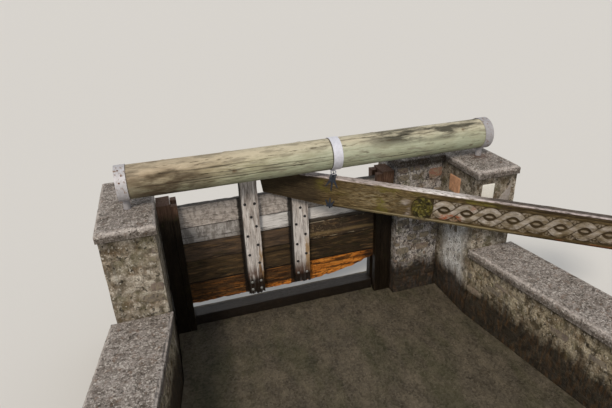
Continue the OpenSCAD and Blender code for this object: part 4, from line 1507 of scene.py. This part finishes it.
class SLUICE_OT_stiles(SluiceOperator, bpy.types.Operator):
    """The two stiles with their coach bolts, and the nuts behind the boards"""

    bl_idname = "sluice.stiles"
    bl_label = "Stiles and bolts"

    def execute(self, context):
        sizes, colours = context.scene.sluice_timber, context.scene.sluice_colours
        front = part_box("left_stile")[0].y
        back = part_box("gate_board_1")[1].y
        # Columns of bolts on a stile, from its middle, and each one's heights from the top down
        columns = (-0.045, 0.046, 0.004)
        rows = {
            "left_stile": ((1.455, 1.115, 0.905, 0.585, 0.50), (1.45, 1.21, 1.005, 0.80, 0.59, 0.50),
                           (1.315,)),
            "right_stile": ((1.155, 0.93, 0.73, 0.59), (1.23, 1.03, 0.805, 0.585), (1.33,)),
        }
        # Heads below this level are scoured, and their light grey also stands for painted glints
        scour_and_glint_level = 0.6
        head = self.bolt_head(context, sizes.bolt_head)
        nut = self.square_nut(context)
        heads, scoured_and_glinting, nuts = [], [], []
        for seed, (name, levels) in enumerate(rows.items()):
            low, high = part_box(name)
            piece = worn_timber(name + "_worn", low, high, 2, (0.0078, 0.0125, 0.02),
                                sizes.board_relief * 0.8, sizes.ragged, 20 + seed)
            self.fray(piece, low, seed)
            material = old_timber(
                "bleached_stile_%d" % (seed + 1), "#DBD4CE", colours.stile, "#776B63", "#1F1711",
                grain=2, wet=(low.z + 0.19, low.z + 0.09), wet_colour="#150F09", shift=seed * 5.0,
                extra=self.flanks(low, 0.25 + 0.25 * seed, 0.66 - 0.05 * seed))
            settle(piece, "gate", material, [name])
            middle = (low.x + high.x) / 2
            for off, heights in zip(columns, levels):
                for level in heights:
                    if level < low.z + 0.03:
                        continue
                    place = Vector((middle + off, front, level))
                    turn = Matrix.Rotation(math.pi / 2, 4, "X")
                    group = heads if level > scour_and_glint_level else scoured_and_glinting
                    group.append(placed_copy(head, Matrix.Translation(place) @ turn))
                    place.y = back
                    turn = Matrix.Rotation(-math.pi / 2, 4, "X")
                    nuts.append(placed_copy(nut, Matrix.Translation(place) @ turn))
        drop(head, nut)
        iron = iron_material("black_bolt_iron", linear("#141417"), linear("#34302F"), 0.36,
                             0.3, 0.55)
        # The lowest heads are scoured, and their light grey also stands for painted glints
        bright = iron_material("scoured_bolt_iron", linear("#A9ABA9"), linear("#6B6862"), 0.42, 0.6,
                               0.35, ("#3A2A20", "#6B5440"))
        settle(joined("stile_bolt_heads", heads), "gate", iron)
        settle(joined("stile_foot_bolt_heads", scoured_and_glinting), "gate", bright)
        settle(joined("board_nuts", nuts), "gate", iron)
        return {"FINISHED"}

    @staticmethod
    def bolt_head(context, diameter):
        """A mushroom head on a thin collar, its base on the XY plane."""
        bpy.ops.object.select_all(action="DESELECT")
        bpy.ops.mesh.primitive_cylinder_add(vertices=18, radius=diameter / 2, depth=0.006,
                                            location=(0, 0, 0.001))
        piece = context.object
        bpy.ops.object.transform_apply(location=True, rotation=True, scale=True)
        mode("EDIT")
        edit_select(piece, "faces", lambda f: f.normal.z > 0.9)
        for step, rise in ((0.16, 0.0022), (0.16, 0.0015), (0.14, 0.0008)):
            bpy.ops.mesh.inset(thickness=step * diameter)
            bpy.ops.transform.translate(value=(0, 0, rise))
        mode("OBJECT")
        return piece

    @staticmethod
    def square_nut(context):
        """A square washer with a hexagon nut and the bolt's end, its base on the XY plane."""
        bpy.ops.object.select_all(action="DESELECT")
        bpy.ops.mesh.primitive_cube_add(size=1, location=(0, 0, 0.0015), scale=(0.045, 0.045, 0.005))
        washer = context.object
        bpy.ops.object.transform_apply(location=True, rotation=True, scale=True)
        mode("EDIT")
        edit_select(washer, "edges", lambda e: abs(
            (e.verts[0].co - e.verts[1].co).normalized().z) > 0.9)
        bpy.ops.mesh.bevel(offset=0.004, segments=2)
        mode("OBJECT")
        bpy.ops.object.select_all(action="DESELECT")
        bpy.ops.mesh.primitive_cylinder_add(vertices=6, radius=0.014, depth=0.013,
                                            location=(0, 0, 0.0095))
        nut = context.object
        bpy.ops.object.transform_apply(location=True, rotation=True, scale=True)
        mode("EDIT")
        edit_select(nut, "faces", lambda f: f.normal.z > 0.9)
        bpy.ops.mesh.inset(thickness=0.0045)
        bpy.ops.mesh.extrude_region_move(TRANSFORM_OT_translate={"value": (0, 0, 0.009)})
        bpy.ops.mesh.bevel(offset=0.001, segments=1)
        mode("OBJECT")
        return joined("nut_model", [washer, nut])

    @staticmethod
    def fray(piece, low, seed):
        """Frays the foot of a stile into splinters of uneven length."""
        reach = 0.16

        def rule(place, normal):
            up = place.z - low.z
            if up < reach:
                split = noise.noise(Vector((place.x * 75 + seed, place.y * 20, seed)))
                lift = 0.045 * max(0.0, split + 0.15)
                place.z += lift * (1 - up / reach)
                place.y += 0.006 * (1 - up / reach) * max(0.0, split)
            return place

        reshape(piece, rule)

    @staticmethod
    def flanks(low, bleached, damp):
        """Painted shade on the left flank, brown flaked right edge and rusty foot of a stile, over
        its colour.
        """
        def lay(tree, coords, colour):
            white = patches(tree, coords, 0.02, 0.52, 0.62, 5.0, (1, 1, 0.07), 61.0)
            grey = patches(tree, coords, 0.022, 0.54, 0.62, 6.0, (1, 1, 0.1), 64.0)
            flaked = patches(tree, coords, 0.03, 0.4, 0.48, 5.0, (1, 1, 0.2), 3.0)
            ragged = shaken(tree, coords, 0.03, 0.04, (1, 1, 0.2))
            edge = along_axis(tree, ragged, 0, low.x + 0.118, low.x + 0.128)
            halfway = between(tree, ragged, 2, low.z + 0.13, low.z + 0.5, 0.05)
            rusty = patches(tree, coords, 0.014, 0.36, 0.5, 5.0, (1, 1, 0.1), 67.0)
            foot = between(tree, coords, 2, low.z + 0.05, damp + 0.08, 0.05)
            bare = between(tree, ragged, 2, low.z + 0.26, low.z + 0.75, 0.12)
            # Painted shade: the left flank of the stile is darkened
            flank = along_axis(tree, coords, 0, low.x + 0.013, low.x + 0.006)
            splits = patches(tree, coords, 0.008, 0.6, 0.66, 4.0, (1, 1, 0.06), 71.0)
            soaked = along_axis(tree, ragged, 2, damp, damp - 0.05)
            return laid_over(tree, colour, [
                (bare, "#F0ECE9", bleached),
                (white, "#EAE6E2", 0.7),
                (grey, "#6A5F58", 0.65),
                (splits, "#2E241D", 0.7),
                (edge, "#9A7845", halfway, flaked, 0.85),
                (foot, "#4E3426", rusty, 0.85),
                (soaked, "#120D08", 0.85),
                (flank, "#14100C", 0.93)])
        return lay


class SLUICE_OT_guides(SluiceOperator, bpy.types.Operator):
    """Guide posts, their battens and the sill beam"""

    bl_idname = "sluice.guides"
    bl_label = "Guides and sill"

    def execute(self, context):
        sizes = context.scene.sluice_timber
        upright = old_timber("soaked_oak_upright", "#574938", "#2E2318", "#150F09", "#070402",
                             grain=2, wet=(1.42, 1.18), wet_colour="#110C07", roughness=0.7,
                             shift=3.0, moss=("#4A4826", 0.42), extra=self.dry_top)
        lying = old_timber("soaked_oak_sill", "#4C3D2B", "#2F2317", "#170F08", "#070402",
                           wet=(0.5, 0.3), wet_colour="#120C07", roughness=0.8, shift=7.0)
        names = ["%s_%s" % (side, part) for side in ("right", "left")
                 for part in ("guide_post", "front_batten", "rear_batten")]
        for seed, name in enumerate(names):
            low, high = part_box(name)
            piece = worn_timber(name + "_worn", low, high, 2, (0.012, 0.015, 0.025),
                                sizes.board_relief * 0.8, sizes.ragged * 0.8, 30 + seed)
            settle(piece, "structure", upright, [name])
        low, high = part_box("sill_beam")
        piece = worn_timber("sill_beam_worn", low, high, 0, (0.025, 0.015, 0.015),
                            sizes.board_relief, sizes.ragged, 40)
        settle(piece, "structure", lying, ["sill_beam"])
        return {"FINISHED"}

    @staticmethod
    def dry_top(tree, coords, colour):
        """Sun-dried reddish brown above the top board."""
        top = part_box("gate_board_1")[1].z
        streaks = patches(tree, coords, 0.012, 0.3, 0.7, 6.0, (1, 1, 0.1), 14.0)
        dry = along_axis(tree, shaken(tree, coords, 0.05, 0.08, (1, 1, 0.4)), 2, top - 0.1, top)
        faded = laid_over(tree, linear("#8C6D5B"), [(streaks, "#4E382C")])
        return laid_over(tree, colour, [(dry, faded, 0.85)])


class SLUICE_OT_masonry(SluiceOperator, bpy.types.Operator):
    """Mortar bodies and rubble stones of the gate wall, piers and channel walls"""

    bl_idname = "sluice.masonry"
    bl_label = "Masonry"

    def execute(self, context):
        sizes, colours = context.scene.sluice_stone, context.scene.sluice_colours
        rng = random.Random(21)
        models = stone_models()
        pier_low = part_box("right_pier")[0]
        gate_low, gate_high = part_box("right_gate_wall")
        pier_look = render_material(
            "lime_render_on_piers", colours.render, "#655C4E", "#DAD1C2", (0.5, 0.34), (1.5, 1.62),
            lime=((pier_low.x - 0.05, -0.67, 0.2), (pier_low.x + 0.05, -0.17, 1.45)))
        wall_look = render_material("rough_lime_mortar", linear("#BFB198"), "#574E3D", "#DDD0B5",
                                    (0.52, 0.36), (0.73, 0.82), grit=1.2)
        stone_look = stone_material("split_field_stone", (0.45, 0.37))
        gate_look = render_material("dark_rubble_mortar", linear("#B2ACA9"), "#4D4846", "#D3CECC",
                                    (0.5, 0.36), (1.56, 1.64), grit=1.2, flecks=0.05)

        self.wall("right_gate_wall", 0.012, 0.005, gate_look, 3)
        self.wall("right_pier", 0.008, 0.003, pier_look, 5)
        self.wall("left_pier", 0.008, 0.003, pier_look, 7)
        # Along a wall's face and out of it
        front_face, left_face = ((1, 0, 0), (0, -1, 0)), ((0, -1, 0), (-1, 0, 0))

        # The gate wall shows two faces, and a reddish stone high up beside the pier
        faces = upright_faces(gate_low, gate_high)[:2]
        reddish = Vector((1.585, gate_low.y, 1.515))
        stones = rubble(models, faces, sizes, 0.6, rng, (0.0, 0.5), 0.62, [reddish])
        stones.append(lay_stone(models[1], reddish, *front_face, (0.17, 0.08, 0.12), 0.78, rng))
        settle(joined("gate_wall_stones", stones), "structure", stone_look,
               angle=0.9)

        stones = []
        # The brick, the white stone and the pointed grey stone that show on the right pier
        brick_at = Vector((pier_low.x, -0.345, 1.445))
        white_at = Vector((1.805, pier_low.y, 1.49))
        pointed_at = Vector((1.985, pier_low.y, 1.455))
        kept_free = (brick_at, white_at, pointed_at)
        for name in ("right_pier", "left_pier"):
            faces = upright_faces(*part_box(name))
            stones += rubble(models, faces, sizes, 0.22, rng, (0.1, 0.7), 0.8, kept_free)
        squared = models[-1]
        stones.append(lay_stone(squared, brick_at, *left_face, (0.175, 0.05, 0.17), 0.95, rng))
        stones.append(lay_stone(squared, white_at, *front_face, (0.13, 0.05, 0.155), 0.86, rng))
        size = Vector((0.14, 0.05, 0.17))
        pointed = lay_stone(squared, pointed_at, *front_face, size, 0.82, rng)
        corner = pointed_at + Vector((size.x / 2, 0, -size.z / 2))

        def sharpen(place, normal):
            place.x = corner.x + (place.x - corner.x) * max(0.08, 1 - (place.z - corner.z) / size.z)
            return place

        reshape(pointed, sharpen)
        stones.append(pointed)
        settle(joined("pier_stones", stones), "structure", stone_look, angle=0.9)

        stones = []
        for name, side in (("right_channel_wall", 1), ("left_channel_wall", -1)):
            low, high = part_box(name)
            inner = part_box("right_pier")[0].x if side > 0 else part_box("left_pier")[1].x
            outer = inner + side * WALL_THICKNESS
            run = high.y - low.y
            flat_low = Vector((min(inner, outer), low.y, 0))
            flat_high = Vector((max(inner, outer), high.y, high.z))
            piece = wall_core(name + "_mortar", flat_low, flat_high, 0.007, 0.004, side + 11,
                              flared=side)
            settle(piece, "structure", wall_look, [name])
            slant = Vector((side * FLARE, -1, 0)).normalized()
            away = Vector((-side, -FLARE, 0)).normalized()
            length = run / abs(slant.y)
            end = min(inner, outer) + side * FLARE * run
            faces = [((inner, high.y, 0), slant, away, length, high.z),
                     ((outer, high.y, 0), slant, -away, length, high.z),
                     ((end, low.y, 0), (1, 0, 0), (0, -1, 0), WALL_THICKNESS, high.z)]
            stones += rubble(models, faces, sizes, 0.2, rng, (0.1, 0.75), 0.8)
        settle(joined("channel_wall_stones", stones), "structure", stone_look,
               angle=0.9)
        drop(*models)
        return {"FINISHED"}

    @staticmethod
    def wall(name, inset, relief, material, seed):
        """The mortar body that stands for an upright wall node."""
        piece = wall_core(name + "_mortar", *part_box(name), inset, relief, seed)
        settle(piece, "structure", material, [name])


class SLUICE_OT_slabs(SluiceOperator, bpy.types.Operator):
    """Concrete caps and copings, and the channel bed"""

    bl_idname = "sluice.slabs"
    bl_label = "Caps, copings and bed"

    def execute(self, context):
        sizes, colours = context.scene.sluice_stone, context.scene.sluice_colours
        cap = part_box("right_pier_cap")[0].z
        caps = concrete_material("cast_concrete_on_piers", colours.concrete, cap + 0.04, stub=True)
        dull = concrete_material("sooty_cast_concrete", linear("#746C64"), cap + 0.06)
        concrete = concrete_material("cast_concrete_on_walls", colours.concrete,
                                     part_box("right_wall_coping")[0].z + 0.042)
        for seed, name in enumerate(("right_gate_wall_cap", "right_pier_cap", "left_pier_cap")):
            piece = cast_slab(name + "_worn", *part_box(name), 0.012, sizes.chip, seed + 1)
            settle(piece, "structure", caps if seed else dull, [name])
        for side, name, pier in ((1, "right_wall_coping", "right_pier"),
                                 (-1, "left_wall_coping", "left_pier")):
            low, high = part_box(name)
            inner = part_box(pier)[0].x if side > 0 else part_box(pier)[1].x
            edge = inner - side * COPING_LIP
            back = inner + side * (WALL_THICKNESS + COPING_LIP)
            piece = cast_slab(name + "_worn", (min(edge, back), low.y, low.z),
                              (max(edge, back), high.y, high.z), 0.012, sizes.chip, side + 8,
                              flared=side)
            settle(piece, "structure", concrete, [name])
        self.bed()
        return {"FINISHED"}

    @staticmethod
    def bed():
        """The channel floor, widened to the front as the walls are, with a worn surface."""
        low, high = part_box("floor_slab")
        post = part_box("right_guide_post")[1].x
        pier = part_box("right_pier")[0]
        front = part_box("right_gate_wall")[0].y
        lower = block("bed_lower", (-post, low.y, low.z), (pier.x, front, high.z), (0.05, 0.05, 0.05))
        upper = block("bed_upper", (-post, front, low.z), (post, high.y, high.z), (0.05, 0.05, 0.05))

        def rule(place, normal):
            past = max(0.0, pier.y - place.y)
            share = (place.x + post) / (pier.x + post)
            if place.y < front - 1e-4 or place.x > post:
                place.x += FLARE * past * (2 * share - 1)
            if normal.z > 0.5:
                wave = noise.noise(Vector((place.x * 3, place.y * 1.2, 0)))
                place.z -= 0.004 * (1 + wave + 0.6 * noise.noise(place * 17))
            return place

        piece = joined("channel_bed_worn", [lower, upper])
        reshape(piece, rule)
        settle(piece, "structure", bed_material(), ["floor_slab"])


class SLUICE_PT_panel(bpy.types.Panel):
    """Sizes, colours and steps of the sluice gate"""

    bl_idname = "SLUICE_PT_panel"
    bl_label = "Sluice gate"
    bl_space_type = "VIEW_3D"
    bl_region_type = "UI"
    bl_category = "Sluice gate"

    def draw(self, context):
        layout = self.layout
        for title, group in (("Timber", context.scene.sluice_timber),
                             ("Stone", context.scene.sluice_stone),
                             ("Colours", context.scene.sluice_colours)):
            box = layout.box()
            box.label(text=title)
            for name in group.__annotations__:
                box.prop(group, name)
        for operator in OPERATORS:
            layout.operator(operator.bl_idname)


OPERATORS = (SLUICE_OT_stage, SLUICE_OT_log, SLUICE_OT_ironwork, SLUICE_OT_lever,
             SLUICE_OT_boards, SLUICE_OT_stiles, SLUICE_OT_guides, SLUICE_OT_masonry,
             SLUICE_OT_slabs)
CLASSES = (SluiceTimberSettings, SluiceStoneSettings, SluiceColours, *OPERATORS, SLUICE_PT_panel)


def register():
    """Registers the classes and hangs the settings on the scene."""
    for item in CLASSES:
        bpy.utils.register_class(item)
    bpy.types.Scene.sluice_timber = bpy.props.PointerProperty(type=SluiceTimberSettings)
    bpy.types.Scene.sluice_stone = bpy.props.PointerProperty(type=SluiceStoneSettings)
    bpy.types.Scene.sluice_colours = bpy.props.PointerProperty(type=SluiceColours)


def unregister():
    """Takes the settings and the classes away again."""
    del bpy.types.Scene.sluice_colours
    del bpy.types.Scene.sluice_stone
    del bpy.types.Scene.sluice_timber
    for item in reversed(CLASSES):
        bpy.utils.unregister_class(item)


def main():
    """Builds the stage and every piece."""
    register()
    bpy.ops.sluice.stage()
    bpy.ops.sluice.log()
    bpy.ops.sluice.ironwork()
    bpy.ops.sluice.lever()
    bpy.ops.sluice.boards()
    bpy.ops.sluice.stiles()
    bpy.ops.sluice.guides()
    bpy.ops.sluice.masonry()
    bpy.ops.sluice.slabs()
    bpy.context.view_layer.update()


if __name__ == "__main__":
    main()
